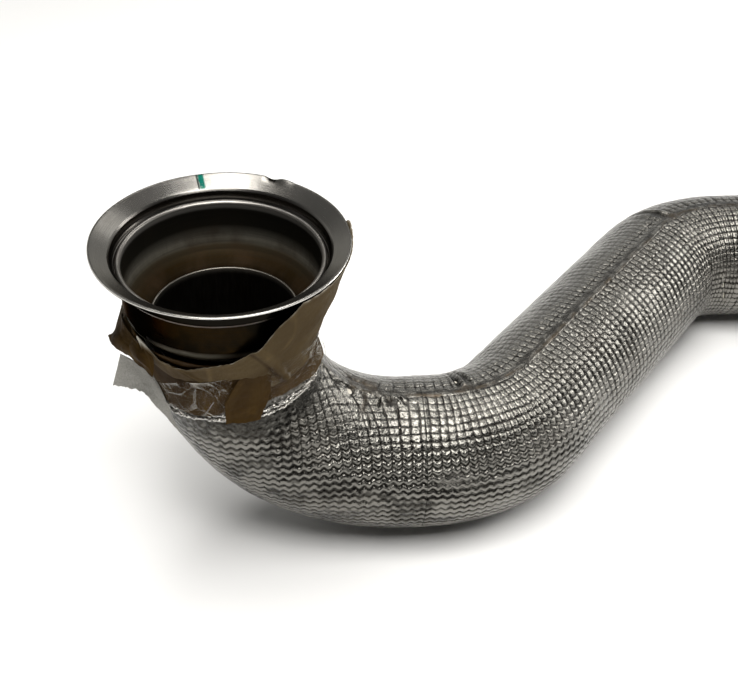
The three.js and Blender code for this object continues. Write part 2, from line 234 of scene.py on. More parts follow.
def shell(name, outer, inner, wrap=False, attrs=None, inner_attr=0.5):
    """A closed shell between an outer grid and an inner grid that may be coarser by whole steps."""
    ni, nj = outer.shape[:2]
    mi, mj = inner.shape[:2]
    ki = (ni - 1) // (mi - 1)
    kj = nj // mj if wrap else (nj - 1) // (mj - 1)
    base = ni * nj
    oi = np.arange(ni * nj).reshape(ni, nj)
    ii = base + np.arange(mi * mj).reshape(mi, mj)
    if wrap:
        oi = np.concatenate([oi, oi[:, :1]], 1)
        ii = np.concatenate([ii, ii[:, :1]], 1)
    q1 = np.stack([oi[:-1, :-1], oi[:-1, 1:], oi[1:, 1:], oi[1:, :-1]], -1).reshape(-1, 4)
    q2 = np.stack([ii[:-1, :-1], ii[1:, :-1], ii[1:, 1:], ii[:-1, 1:]], -1).reshape(-1, 4)
    ngons = []
    for J in range(ii.shape[1] - 1):
        ngons.append(list(oi[0, J * kj : (J + 1) * kj + 1][::-1]) + [ii[0, J], ii[0, J + 1]])
        ngons.append(list(oi[-1, J * kj : (J + 1) * kj + 1]) + [ii[-1, J + 1], ii[-1, J]])
    if not wrap:
        for I in range(ii.shape[0] - 1):
            ngons.append(list(oi[I * ki : (I + 1) * ki + 1, 0]) + [ii[I + 1, 0], ii[I, 0]])
            ngons.append(list(oi[I * ki : (I + 1) * ki + 1, -1][::-1]) + [ii[I, -1], ii[I + 1, -1]])
    full = {}
    for key, v in (attrs or {}).items():
        v = np.broadcast_to(v, (ni, nj))
        full[key] = np.concatenate([v.ravel(), v[::ki, ::kj][:mi, :mj].ravel() if v.shape == (ni, nj) else np.full(mi * mj, inner_attr)])
    return build(name, np.concatenate([outer.reshape(-1, 3), inner.reshape(-1, 3)]), np.concatenate([q1, q2]), ngons, attrs=full)


def normals(grid):
    du = np.gradient(grid, axis=0)
    dv = np.gradient(grid, axis=1)
    n = np.cross(du, dv)
    return n / np.maximum(np.linalg.norm(n, axis=-1, keepdims=True), 1e-9)


def skin(name, grid, thickness, attrs=None):
    """A thin closed sheet centred on a grid of points."""
    n = normals(grid) * thickness / 2
    return shell(name, grid + n, grid - n, attrs=attrs)


def rounded(points, step=0.35):
    """A closed [radius, z] outline with each corner rounded by its third number."""
    pts = [np.array(p[:2], float) for p in points]
    out = []
    n = len(pts)
    for k in range(n):
        r = points[k][2] if len(points[k]) > 2 else 0
        a, b, c = pts[k - 1], pts[k], pts[(k + 1) % n]
        u, v = a - b, c - b
        lu, lv = np.linalg.norm(u), np.linalg.norm(v)
        u, v = u / lu, v / lv
        ang = math.acos(max(-1, min(1, float(u @ v))))
        if r <= 0 or ang > math.pi - 0.02:
            out.append(b)
            continue
        cut = min(r / math.tan(ang / 2), lu * 0.48, lv * 0.48)
        p0, p1 = b + u * cut, b + v * cut
        m = max(3, int(math.ceil(r * (math.pi - ang) / step)))
        for q in range(m + 1):  # a quadratic through the corner is close enough to the arc
            f = q / m
            out.append((1 - f) ** 2 * p0 + 2 * f * (1 - f) * b + f * f * p1)
    return np.array(out)


def dense(outline, step):
    """The closed outline with long straight sides split."""
    out = []
    n = len(outline)
    for k in range(n):
        a, b = outline[k], outline[(k + 1) % n]
        m = max(1, int(np.linalg.norm(b - a) / step))
        for q in range(m):
            out.append(a + (b - a) * q / m)
    return np.array(out)


def turned(name, outline, count=320, change=None, attrs=None):
    """Turns a closed [radius, z] outline about the cup's axis. change(deg, r, z) may move r and z."""
    deg = np.arange(count) * 360 / count
    D, R = np.meshgrid(deg, outline[:, 0], indexing="ij")
    _, Z = np.meshgrid(deg, outline[:, 1], indexing="ij")
    if change:
        R, Z = change(D, R, Z)
    g = polar(D, R, Z)
    ni, nj = g.shape[:2]
    idx = np.arange(ni * nj).reshape(ni, nj)
    a = np.roll(idx, -1, 0)
    q = np.stack([idx, np.roll(idx, -1, 1), np.roll(a, -1, 1), a], -1).reshape(-1, 4)
    full = {k: f(D, R, Z) for k, f in (attrs or {}).items()}
    return build(name, g.reshape(-1, 3), q, attrs=full)


def tube(name, s, outline_r, count=96, change=None, attrs=None, deg0=0.0):
    """A closed ring round the centreline from a closed outline of (s, r) points."""
    outline = np.array(outline_r, float)
    deg = deg0 + np.arange(count) * 360 / count
    D, SS = np.meshgrid(deg, outline[:, 0], indexing="ij")
    _, RR = np.meshgrid(deg, outline[:, 1], indexing="ij")
    if change:
        SS, RR = change(D, SS, RR)
    g = on_pipe(SS, D, RR)
    ni, nj = g.shape[:2]
    idx = np.arange(ni * nj).reshape(ni, nj)
    a = np.roll(idx, -1, 0)
    q = np.stack([idx, np.roll(idx, -1, 1), np.roll(a, -1, 1), a], -1).reshape(-1, 4)
    full = {k: f(D, SS, RR) for k, f in (attrs or {}).items()}
    return build(name, g.reshape(-1, 3), q, attrs=full)


# ---- helpers: materials ---------------------------------------------------------------------
class Mat:
    """A node material written in few words."""

    def __init__(self, name):
        self.m = bpy.data.materials.new(name)
        self.m.use_nodes = True
        self.t = self.m.node_tree
        self.t.nodes.clear()
        self.out = self.t.nodes.new("ShaderNodeOutputMaterial")
        self.obj = None

    def n(self, kind, ins=None, out=0, **props):
        node = self.t.nodes.new("ShaderNode" + kind)
        for k, v in props.items():
            setattr(node, k, v)
        for k, v in (ins or {}).items():
            sock = node.inputs[k]
            if isinstance(v, bpy.types.NodeSocket):
                self.t.links.new(v, sock)
            else:
                sock.default_value = v
        return node if out is None else node.outputs[out]

    def math(self, op, a, b=0.0, c=0.0, clamp=False):
        return self.n("Math", {0: a, 1: b, 2: c}, operation=op, use_clamp=clamp)

    def attr(self, name):
        return self.n("Attribute", attribute_name=name, out=2)

    def coords(self):
        if self.obj is None:
            self.obj = self.n("TexCoord", out=3)
        return self.obj

    def noise(self, scale, vec=None, detail=3.0, rough=0.55, distortion=0.0):
        return self.n(
            "TexNoise",
            {"Vector": vec or self.coords(), "Scale": scale, "Detail": detail, "Roughness": rough, "Distortion": distortion},
            out=0,
        )

    def ramp(self, fac, stops, interpolation="LINEAR"):
        node = self.n("ValToRGB", {"Fac": fac}, out=None)
        node.color_ramp.interpolation = interpolation
        els = node.color_ramp.elements
        while len(els) < len(stops):
            els.new(0.5)
        for e, (p, c) in zip(els, stops):
            e.position = p
            e.color = (c, c, c, 1) if isinstance(c, (int, float)) else (*c[:3], 1)
        return node.outputs[0]

    def mix(self, fac, a, b, blend="MIX"):
        node = self.n("Mix", data_type="RGBA", blend_type=blend, out=None)
        node.clamp_factor = True
        for key, v in ((0, fac), (6, a), (7, b)):
            sock = node.inputs[key]
            if isinstance(v, bpy.types.NodeSocket):
                self.t.links.new(v, sock)
            elif key == 0:
                sock.default_value = v
            else:
                sock.default_value = (v, v, v, 1) if isinstance(v, (int, float)) else (*v[:3], 1)
        return node.outputs[2]

    def scaled(self, vec, scale):
        return self.n("Mapping", {"Vector": vec, "Scale": scale})

    def about_cup(self, k_angle, k_r, k_z):
        """Coordinates round the cup's axis: angle, radius and height, each scaled."""
        v = self.n("VectorMath", {0: self.coords(), 1: tuple(RIM / 1000)}, operation="SUBTRACT")
        xyz = self.n("SeparateXYZ", {0: v}, out=None)
        ang = self.math("ARCTAN2", xyz.outputs[1], xyz.outputs[0])
        r = self.n("VectorMath", {0: self.n("CombineXYZ", {0: xyz.outputs[0], 1: xyz.outputs[1]})}, operation="LENGTH", out=1)
        self.angle, self.radius, self.height = ang, r, xyz.outputs[2]
        return self.n(
            "CombineXYZ",
            {0: self.math("MULTIPLY", ang, k_angle), 1: self.math("MULTIPLY", r, k_r), 2: self.math("MULTIPLY", xyz.outputs[2], k_z)},
        )

    def bump(self, height, strength, distance, normal=None):
        ins = {"Height": height, "Strength": strength, "Distance": distance}
        if normal is not None:
            ins["Normal"] = normal
        return self.n("Bump", ins)

    def shader(self, color, rough, metallic=0.0, normal=None, **extra):
        ins = {"Base Color": color if isinstance(color, bpy.types.NodeSocket) else (*color[:3], 1), "Roughness": rough, "Metallic": metallic}
        if normal is not None:
            ins["Normal"] = normal
        for k, v in extra.items():
            ins[k.replace("_", " ")] = v
        return self.n("BsdfPrincipled", ins)

    def done(self, surface):
        self.t.links.new(surface, self.out.inputs[0])
        return self.m


def paint(ob, material):
    ob.data.materials.clear()
    ob.data.materials.append(material)
    return ob


# ---- materials ------------------------------------------------------------------------------
def foil_material(name, bright, dark, rough):
    m = Mat(name)
    painted_shade_and_wear = m.attr("painted_shade_and_wear")
    stain = m.attr("stain")
    big = m.noise(9.0, detail=3.0)
    fine = m.noise(420.0, detail=2.0)
    tone = m.mix(m.ramp(big, [(0.3, 0.0), (0.7, 1.0)]), bright, tuple(c * 0.84 for c in bright))
    # painted shade: the foil runs towards its dark colour in the grooves, creases, dents and crumples, and in worn
    # patches
    col = m.mix(m.ramp(painted_shade_and_wear, [(0.0, 0.0), (0.32, 0.14), (0.68, 1.0)]), dark, tone)
    col = m.mix(stain, col, (0.062, 0.045, 0.028))
    worn = m.mix(m.ramp(fine, [(0.35, 0.0), (0.7, 0.35)]), col, tuple(c * 0.55 for c in bright))
    r = m.math("ADD", m.math("MULTIPLY", fine, 0.14), rough - 0.07)
    r = m.math("ADD", r, m.math("MULTIPLY", m.math("SUBTRACT", 1.0, painted_shade_and_wear), 0.16))
    r = m.math("ADD", r, m.math("MULTIPLY", stain, 0.2), clamp=True)
    nrm = m.bump(m.noise(560.0, detail=3.0, rough=0.62), 0.85, 0.0007)
    return m.done(m.shader(worn, r, 1.0, nrm))


FOIL = foil_material("embossed_foil", (0.236, 0.228, 0.207), (0.009, 0.0082, 0.0066), 0.10)
# painted highlight: the crimped hems use a lighter copy of the foil's material, standing for their crinkles catching
# the light
HEM = foil_material("bright_foil", (0.62, 0.60, 0.56), (0.03, 0.028, 0.024), 0.15)


def steel_material(name, base, tint, rough, streak=0.5, marker=False):
    """Turned stainless steel: fine rings round the axis, soft stains, optional marker stroke on the lip. With the
    marker also come painted shade under the lip and on its inner step, a painted highlight along the outer edge, and a
    dark nick.
    """
    m = Mat(name)
    rings = m.noise(1.0, m.about_cup(3.0, 2600.0, 2600.0), detail=2.0)
    soft = m.noise(26.0, detail=4.0)
    col = m.mix(m.ramp(rings, [(0.3, 0.0), (0.7, 1.0)]), base, tuple(c * (1 - 0.3 * streak) for c in base))
    col = m.mix(m.ramp(soft, [(0.45, 0.0), (0.8, 0.75)]), col, tint)
    if marker:
        edge = m.noise(240.0, detail=2.0)
        off = m.math("ABSOLUTE", m.math("SUBTRACT", m.angle, 1.763))
        off = m.math("ADD", off, m.math("MULTIPLY", m.math("SUBTRACT", edge, 0.5), 0.035))
        band = m.ramp(off, [(0.021, 1.0), (0.029, 0.0)])
        reach = m.ramp(m.math("MULTIPLY", m.radius, 10.0), [(0.735, 0.0), (0.75, 1.0)])
        gaps = m.ramp(edge, [(0.68, 1.0), (0.76, 0.0)])
        mask = m.math("MULTIPLY", m.math("MULTIPLY", band, reach), gaps)
        thin = m.ramp(m.math("ABSOLUTE", m.math("SUBTRACT", m.angle, 1.797)), [(0.005, 1.0), (0.010, 0.0)])
        col = m.mix(mask, col, (0.003, 0.055, 0.040))
        col = m.mix(m.math("MULTIPLY", thin, reach), col, (0.012, 0.02, 0.016))
        # painted shade under the lip and on the inner step, and a painted highlight along the rim's outer edge
        col = m.mix(m.attr("under"), col, (0.007, 0.0062, 0.005))
        col = m.mix(m.attr("step"), col, (0.075, 0.07, 0.064))
        col = m.mix(m.attr("edge"), col, (0.80, 0.78, 0.74))
        col = m.mix(m.attr("nick"), col, (0.0035, 0.003, 0.0025))
    r = m.math("ADD", m.math("MULTIPLY", rings, 0.12), rough - 0.05)
    r = m.math("ADD", r, m.math("MULTIPLY", soft, 0.12))
    nrm = m.bump(rings, 0.10, 0.0002)
    nrm = m.bump(m.noise(55.0, detail=2.0), 0.05, 0.0015, nrm)
    return m.done(m.shader(col, r, 1.0, nrm, Specular_Tint=(0.34, 0.33, 0.31, 1.0)))


RIM_STEEL = steel_material("satin_steel", (0.235, 0.227, 0.211), (0.14, 0.131, 0.117), 0.17, marker=True)
OUTLET_STEEL = steel_material("satin_steel_outlet", (0.36, 0.345, 0.32), (0.22, 0.205, 0.185), 0.28)


def cup_material():
    """Spun cup: dark heat-tinted inside, darker polished outside with brown patches, and a painted highlight on the
    outside: a faint broad patch and a bright smear along the press mark.
    """
    m = Mat("heated_steel")
    inside = m.attr("inside")
    rings = m.noise(1.0, m.about_cup(2.0, 1800.0, 1800.0), detail=2.0)
    up_streaks = m.noise(1.0, m.about_cup(26.0, 30.0, 14.0), detail=4.0, rough=0.6)
    soft = m.noise(1.0, m.about_cup(3.2, 40.0, 36.0), detail=4.0)
    h = m.math("MULTIPLY", m.height, -10.0)  # 0 at the rim, about 0.67 at the foot
    tint = m.ramp(
        h,
        [
            (0.12, (0.12, 0.114, 0.105)),
            (0.19, (0.006, 0.0055, 0.0043)),
            (0.315, (0.009, 0.0083, 0.0062)),
            (0.375, (0.075, 0.070, 0.057)),
            (0.405, (0.120, 0.112, 0.092)),
            (0.44, (0.105, 0.097, 0.077)),
            (0.475, (0.028, 0.022, 0.013)),
            (0.53, (0.0125, 0.0074, 0.0022)),
            (0.60, (0.006, 0.0036, 0.0016)),
        ],
    )
    low = m.ramp(h, [(0.30, 0.12), (0.38, 1.0)])  # sooty just under the bead, cleaner further down
    tint = m.mix(m.math("MULTIPLY", low, m.ramp(up_streaks, [(0.5, 0.0), (0.85, 0.5)])), tint, m.mix(0.5, tint, (0.02, 0.017, 0.013)))
    tint = m.mix(m.math("MULTIPLY", low, m.ramp(soft, [(0.46, 0.0), (0.8, 0.75)])), tint, (0.028, 0.017, 0.009))
    outer = m.mix(m.ramp(soft, [(0.4, 0.0), (0.72, 1.0)]), (0.0048, 0.0039, 0.0025), (0.0200, 0.0110, 0.0032))
    # painted highlight on the outside wall: a faint broad patch and a bright smear along the press mark
    outer = m.mix(m.attr("painted_highlight_patch"), outer, (0.13, 0.127, 0.118))
    col = m.mix(inside, outer, tint)
    col = m.mix(m.ramp(rings, [(0.35, 0.0), (0.75, 0.3)]), col, (0.012, 0.011, 0.009))
    bead = m.attr("bead")
    col = m.mix(bead, col, (0.22, 0.21, 0.195))
    r = m.math("ADD", m.math("MULTIPLY", rings, 0.12), 0.24)
    r = m.math("ADD", r, m.math("MULTIPLY", up_streaks, 0.08))
    nrm = m.bump(rings, 0.12, 0.0002)
    nrm = m.bump(soft, 0.08, 0.002, nrm)
    r = m.math("ADD", r, m.math("MULTIPLY", inside, 0.17))
    metal = m.math("SUBTRACT", 1.0, m.math("MULTIPLY", m.math("MULTIPLY", inside, m.math("SUBTRACT", 1.0, bead)), 0.82))
    spec = m.math("SUBTRACT", 0.3, m.math("MULTIPLY", inside, 0.24))
    return m.done(m.shader(col, r, metal, nrm, Specular_IOR_Level=spec, Specular_Tint=(0.22, 0.16, 0.10, 1.0)))


CUP = cup_material()


def pipe_material():
    m = Mat("pipe_steel")
    soft = m.noise(30.0, detail=4.0)
    fine = m.noise(1.0, m.scaled(m.coords(), (900.0, 900.0, 60.0)), detail=2.0)
    cut = m.attr("cut")
    col = m.mix(m.ramp(soft, [(0.35, 0.0), (0.75, 1.0)]), (0.055, 0.048, 0.04), (0.03, 0.018, 0.01))
    col = m.mix(m.ramp(fine, [(0.4, 0.0), (0.8, 0.35)]), col, (0.09, 0.08, 0.07))
    col = m.mix(cut, col, (0.22, 0.205, 0.18))
    r = m.math("ADD", m.math("MULTIPLY", fine, 0.2), 0.3)
    return m.done(m.shader(col, r, 1.0, m.bump(fine, 0.2, 0.0003)))


PIPE = pipe_material()


def weld_material():
    m = Mat("weld_metal")
    soft = m.noise(60.0, detail=3.0)
    fine = m.noise(500.0, detail=2.0)
    col = m.mix(m.ramp(soft, [(0.3, 0.0), (0.7, 1.0)]), (0.135, 0.122, 0.104), (0.075, 0.052, 0.038))
    col = m.mix(m.ramp(fine, [(0.4, 0.0), (0.8, 0.5)]), col, (0.058, 0.062, 0.078))
    r = m.math("ADD", m.math("MULTIPLY", fine, 0.25), 0.25)
    return m.done(m.shader(col, r, 1.0, m.bump(fine, 0.2, 0.0003)))


WELD = weld_material()


def mat_material():
    m = Mat("fibre_mat")
    fib = m.noise(1.0, m.scaled(m.coords(), (700.0, 260.0, 700.0)), detail=4.0, rough=0.7, distortion=1.5)
    big = m.noise(40.0, detail=3.0)
    col = m.mix(m.ramp(fib, [(0.3, 0.0), (0.7, 1.0)]), (0.62, 0.58, 0.49), (0.82, 0.79, 0.70))
    col = m.mix(m.ramp(big, [(0.45, 0.0), (0.8, 0.5)]), col, (0.55, 0.47, 0.34))
    return m.done(m.shader(col, m.math("ADD", m.math("MULTIPLY", fib, 0.1), 0.88), 0.0, m.bump(fib, 0.6, 0.001), Sheen_Weight=0.3))


FIBRE = mat_material()


def paper_material(name, light, dark):
    """Kraft paper: long fibres, creases lighter along their crests, scuffs, and darker where the shade attribute is
    high: darker patches, and painted shade and painted shadow lines where a piece sets them.
    """
    m = Mat(name)
    fibre = m.noise(1.0, m.scaled(m.coords(), (900.0, 900.0, 190.0)), detail=4.0, rough=0.65)
    fleck = m.noise(1300.0, detail=1.0)
    big = m.noise(24.0, detail=4.0)
    crease = m.attr("crease")
    shade = m.attr("shade")
    col = m.mix(m.ramp(big, [(0.32, 0.0), (0.68, 1.0)]), light, tuple(a * 0.55 + b * 0.45 for a, b in zip(light, dark)))
    col = m.mix(m.ramp(fibre, [(0.38, 0.0), (0.7, 0.45)]), col, tuple(c * 0.72 for c in light))
    col = m.mix(m.ramp(fleck, [(0.66, 0.0), (0.72, 0.35)]), col, tuple(c * 1.5 for c in light))
    col = m.mix(m.ramp(crease, [(0.55, 0.0), (1.0, 0.5)]), col, tuple(min(1, c * 1.7) for c in light))
    col = m.mix(m.ramp(shade, [(0.0, 0.0), (1.0, 1.0)]), col, dark)
    col = m.mix(m.attr("torn"), col, (0.42, 0.40, 0.345))
    nrm = m.bump(fibre, 0.35, 0.0004)
    nrm = m.bump(m.noise(160.0, detail=3.0), 0.3, 0.0008, nrm)
    return m.done(m.shader(col, m.math("ADD", m.math("MULTIPLY", fibre, 0.2), 0.68), 0.0, nrm, Specular_IOR_Level=0.14))


KRAFT = paper_material("kraft_paper", (0.084, 0.057, 0.0235), (0.032, 0.0165, 0.0038))


KRAFT_WAXED = paper_material("kraft_paper_waxed", (0.060, 0.0325, 0.0050), (0.0245, 0.0112, 0.0012))


def tape_material(name, film, dust, clear, rough):
    """Packing tape: mostly clear film that turns milky along its wrinkles. Dust dulls it."""
    m = Mat(name)
    wr = m.attr("crease")
    fine = m.noise(1.0, m.scaled(m.coords(), (260.0, 260.0, 110.0)), detail=3.0, distortion=1.2)
    big = m.noise(40.0, detail=3.0)
    col = m.mix(m.ramp(big, [(0.3, 0.0), (0.7, 1.0)]), film, dust)
    r = m.math("ADD", m.math("MULTIPLY", fine, 0.2), rough)
    nrm = m.bump(fine, 0.20, 0.0008)
    a = m.math("MULTIPLY", m.ramp(wr, [(0.14, 0.0), (0.75, 1.0)]), 0.72)
    a = m.math("ADD", a, m.math("MULTIPLY", m.ramp(fine, [(0.58, 0.0), (0.78, 1.0)]), 0.12))
    a = m.math("ADD", a, clear, clamp=True)
    return m.done(m.shader(col, r, 0.0, nrm, Alpha=a, Specular_IOR_Level=0.6))


TAPE = tape_material("clear_tape", (0.33, 0.305, 0.245), (0.52, 0.49, 0.435), 0.012, 0.13)


def flap_material():
    """Dust-dulled tape: grey speckled film, nearly opaque."""
    m = Mat("dusty_tape")
    speck = m.noise(900.0, detail=3.0, rough=0.7)
    big = m.noise(35.0, detail=4.0)
    wr = m.attr("crease")
    col = m.mix(m.ramp(big, [(0.3, 0.0), (0.7, 1.0)]), (0.27, 0.262, 0.235), (0.37, 0.36, 0.325))
    col = m.mix(m.ramp(speck, [(0.45, 0.0), (0.72, 0.8)]), col, (0.15, 0.145, 0.13))
    col = m.mix(m.ramp(wr, [(0.5, 0.0), (1.0, 0.6)]), col, (0.40, 0.39, 0.36))
    a = m.math("ADD", m.math("MULTIPLY", speck, 0.1), 0.88, clamp=True)
    return m.done(m.shader(col, m.math("ADD", m.math("MULTIPLY", speck, 0.2), 0.5), 0.0, m.bump(speck, 0.3, 0.0004), Alpha=a))


FLAP = flap_material()

pieces = []


def place(ob, material, slot, *nodes):
    paint(ob, material)
    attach(ob, "root")
    if nodes:
        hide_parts(*nodes)
    pieces.append(ob)
    return ob


# ---- inlet flange and cup ---------------------------------------------------------------------
flange_outline = dense(
    rounded(
        [
            (84.2, 0.0, 0.5),
            (73.9, -6.0, 0.7),
            (72.5, -7.6, 0.5),
            (72.0, -12.6, 0.6),
            (71.2, -14.1, 0.3),
            (70.3, -14.6, 0.2),
            (70.3, -16.2, 0.2),
            (73.6, -15.4, 1.0),
            (74.2, -9.2, 1.2),
            (85.66, -1.5, 0.7),
            (85.66, 0.0, 0.6),
        ],
        0.25,
    ),
    1.6,
)


def rim_shape(D, R, Z):
    """The stamped lip isn't perfectly flat, and one nick bends its far edge."""
    lip = smooth(74, 84, R)
    Z = Z + lip * 0.28 * noise(D / 37.0, 0.3, seed=3)
    R = R + lip * 0.12 * noise(D / 23.0, 2.3, seed=4)
    nick = bump(D, 65.5, 5.4) * smooth(79.6, 84.6, R)
    Z = Z - 1.5 * nick + 0.6 * bump(D, 58.5, 5.5) * smooth(79, 84, R)
    R = R - 0.4 * nick
    return R, Z


flange = turned(
    "inlet_flange_formed",
    flange_outline,
    540,
    rim_shape,
    {
        # painted light: under and step darken the lip's underside, the skirt's foot and the inner step as painted
        # shade; edge lights the outer edge as a painted highlight
        "under": lambda D, R, Z: np.clip((R > 71.6) * (Z < -0.577 * (85.66 - R) - 0.85), 0, 1) * 1.0 + ((R < 73.7) & (Z < -14.2)) * 0.8,
        "step": lambda D, R, Z: (R < 73.4) * smooth(-6.2, -7.6, Z) * (Z > -14.2),
        "edge": lambda D, R, Z: (R > 85.3) * smooth(-0.85, -0.45, Z),
        "nick": lambda D, R, Z: smooth(0.2, 0.6, bump(D, 65.6, 3.6) * smooth(80.0, 82.6, R) * (1 + 0.5 * noise(D / 1.3, R / 1.5, seed=8))),
    },
)
place(flange, RIM_STEEL, "satin_steel", "inlet_flange")

bead = [(68.05 + 1.85 * math.cos(a * RAD), -14.5 + 1.85 * math.sin(a * RAD)) for a in np.linspace(-30, 180, 16)]
cup_outline = dense(
    rounded(
        [(r, z, 0) for r, z in bead]
        + [
            (66.5, -18.4, 1.0),
            (66.5, -41.0, 6.0),
            (65.6, -46.0, 5.0),
            (62.6, -50.2, 4.0),
            (53.4, -56.4, 1.6),
            (51.2, -58.6, 1.2),
            (51.2, -67.0, 0.3),
            (52.7, -67.0, 0.3),
            (52.7, -59.6, 1.2),
            (54.4, -57.8, 1.6),
            (63.6, -51.4, 4.0),
            (67.0, -46.6, 5.0),
            (68.0, -41.0, 6.0),
            (68.0, -17.6, 0.6),
        ],
        0.7,
    ),
    2.2,
)


def cup_shape(D, R, Z):
    wall = smooth(-15.5, -20, Z)
    R = R + wall * 0.14 * noise(D / 31.0, Z / 26.0, seed=8) + wall * 0.05 * noise(D / 6.0, Z / 18.0, seed=9)
    # a dull press mark on the outside wall
    R = R - (R > 66.0) * 0.22 * bump(D % 360, 248.0, 8.0) * bump(Z, -45.5, 5.0)
    Z = Z + 0.12 * bump(Z, -13.0, 2.0) * noise(D / 9.0, 1.7, seed=10)
    return R, Z


cup = turned(
    "inlet_cup_spun",
    cup_outline,
    400,
    cup_shape,
    {
        "inside": lambda D, R, Z: (R < 67.3).astype(float) * (Z < -13.4),
        "bead": lambda D, R, Z: smooth(-16.0, -14.2, Z),
        # painted highlight: faint and broad on the left of the outside, bright along the press mark
        "painted_highlight_patch": lambda D, R, Z: np.clip((R > 67.2) * 0.10 * bump(D % 360, 206.0, 26.0) * smooth(-50, -40, Z) + (R > 66.0) * 0.6 * bump(D % 360 + 0.9 * (Z + 45), 249.0, 5.5) * bump(Z, -46.0, 3.2), 0, 1),
    },
)
place(cup, CUP, "heated_steel", "inlet_cup")


def ripple(period, amount, seed):
    def change(D, S, R):
        phase = (D / period) % 1.0
        wave = amount * (phase - 0.5) * 2
        lift = smooth(0.0, 1.0, (R - R.min()) / max(R.max() - R.min(), 1e-6))
        return S + 0.12 * noise(D / 9.0, 0.5, seed=seed), R + lift * (wave + 0.12 * noise(D / 4.0, 3.1, seed=seed + 1))

    return change


def turned_ripple(period, amount, seed, sign=1):
    def change(D, R, Z):
        phase = (D / period) % 1.0
        wave = amount * (phase - 0.5) * 2
        out = smooth(0.0, 1.0, (R - R.min()) / (R.max() - R.min()))
        return R + sign * out * wave * 0.6, Z + 0.10 * noise(D / 3.0, 0.5, seed=seed)

    return change


w1 = turned(
    "weld_flange_cup_bead",
    dense(rounded([(68.4, -17.2, 0.2), (71.7, -16.9, 0.9), (71.0, -18.6, 0.9), (68.4, -20.4, 0.3)], 0.2), 0.8),
    720,
    turned_ripple(1.6, 0.22, 51),
)
place(w1, WELD, "weld_metal", "weld_flange_cup")
w2 = turned(
    "weld_cup_pipe_bead",
    dense(rounded([(51.2, -67.4, 0.2), (53.1, -67.5, 0.7), (52.6, -69.4, 0.7), (51.2, -70.6, 0.2)], 0.2), 0.8),
    540,
    turned_ripple(2.0, 0.2, 52),
)
place(w2, WELD, "weld_metal", "weld_cup_pipe")

# ---- bare pipe, its welds and the outlet flange -------------------------------------------------
CUT = 0.2


def pipe_length(name, node, a, b, open_top=False):
    n = max(4, int((b - a) / 5))
    ss = np.linspace(a, b, n)
    edge = 0.25
    outer = [(a + edge, 50.8)] + [(s, 50.8) for s in ss[1:-1]] + [(b - edge, 50.8)]
    inner = [(b - edge, 49.3)] + [(s, 49.3) for s in ss[1:-1][::-1]] + [(a + edge, 49.3)]
    outline = outer + [(b, 50.55), (b, 49.55)] + inner + [(a, 49.55), (a, 50.55)]

    def change(D, S, R):
        return S, R + 0.06 * noise(D / 24.0, S / 40.0, seed=70)

    def cutmask(D, S, R):
        if not open_top:
            return np.zeros_like(R)
        return smooth(a + 0.9, a + 0.2, S)

    ob = tube(name, None, outline, 144, change, {"cut": cutmask})
    place(ob, PIPE, "pipe_steel", node)
    return ob


pipe_length("pipe_inlet_elbow_drawn", "pipe_inlet_elbow", 57.4, S2 + LINK / 2 - CUT, True)
pipe_length("pipe_entry_bend_drawn", "pipe_entry_bend", S2 + LINK / 2 + CUT, S4 + 6 - CUT)
pipe_length("pipe_middle_drawn", "pipe_middle", S4 + 6 + CUT, S5 - 6 - CUT)
pipe_length("pipe_exit_bend_drawn", "pipe_exit_bend", S5 - 6 + CUT, S6 + 8 - CUT)
pipe_length("pipe_outlet_drawn", "pipe_outlet", S6 + 8 + CUT, PIPE_END)

for k, (node, s) in enumerate((("weld_elbow", S2 + LINK / 2), ("weld_entry_bend", S4 + 6), ("weld_exit_bend", S5 - 6), ("weld_outlet", S6 + 8))):
    outline = [(s - 2.6, 51.15)] + [(s + 2.6 * math.cos(a), 51.25 + 0.95 * math.sin(a)) for a in np.linspace(math.pi, 0, 9)] + [(s + 2.6, 51.15)]
    place(tube(node + "_bead", None, outline, 420, ripple(2.4, 0.18, 60 + k)), WELD, "weld_metal", node)

OF = S6 + 92.4
out_outline = dense(
    rounded(
        [
            (OF - 17, 51.2, 0.2),
            (OF - 17, 53.2, 0.5),
            (OF - 9.0, 53.4, 1.5),
            (OF - 6.5, 55.2, 1.0),
            (OF - 1.2, 58.6, 0.5),
            (OF, 58.6, 0.4),
            (OF, 51.2, 0.5),
        ],
        0.2,
    ),
    1.6,
)
place(tube("outlet_flange_formed", None, out_outline, 360), OUTLET_STEEL, "satin_steel", "outlet_flange")
w_out = rounded([(OF - 20.4, 51.2, 0.2), (OF - 20.4, 51.8, 0.3), (OF - 18.8, 52.8, 0.8), (OF - 17.4, 53.2, 0.3), (OF - 17.4, 51.2, 0.2)], 0.2)
place(tube("weld_outlet_flange_bead", None, dense(w_out, 0.8), 420, ripple(2.4, 0.15, 66)), WELD, "weld_metal", "weld_outlet_flange")

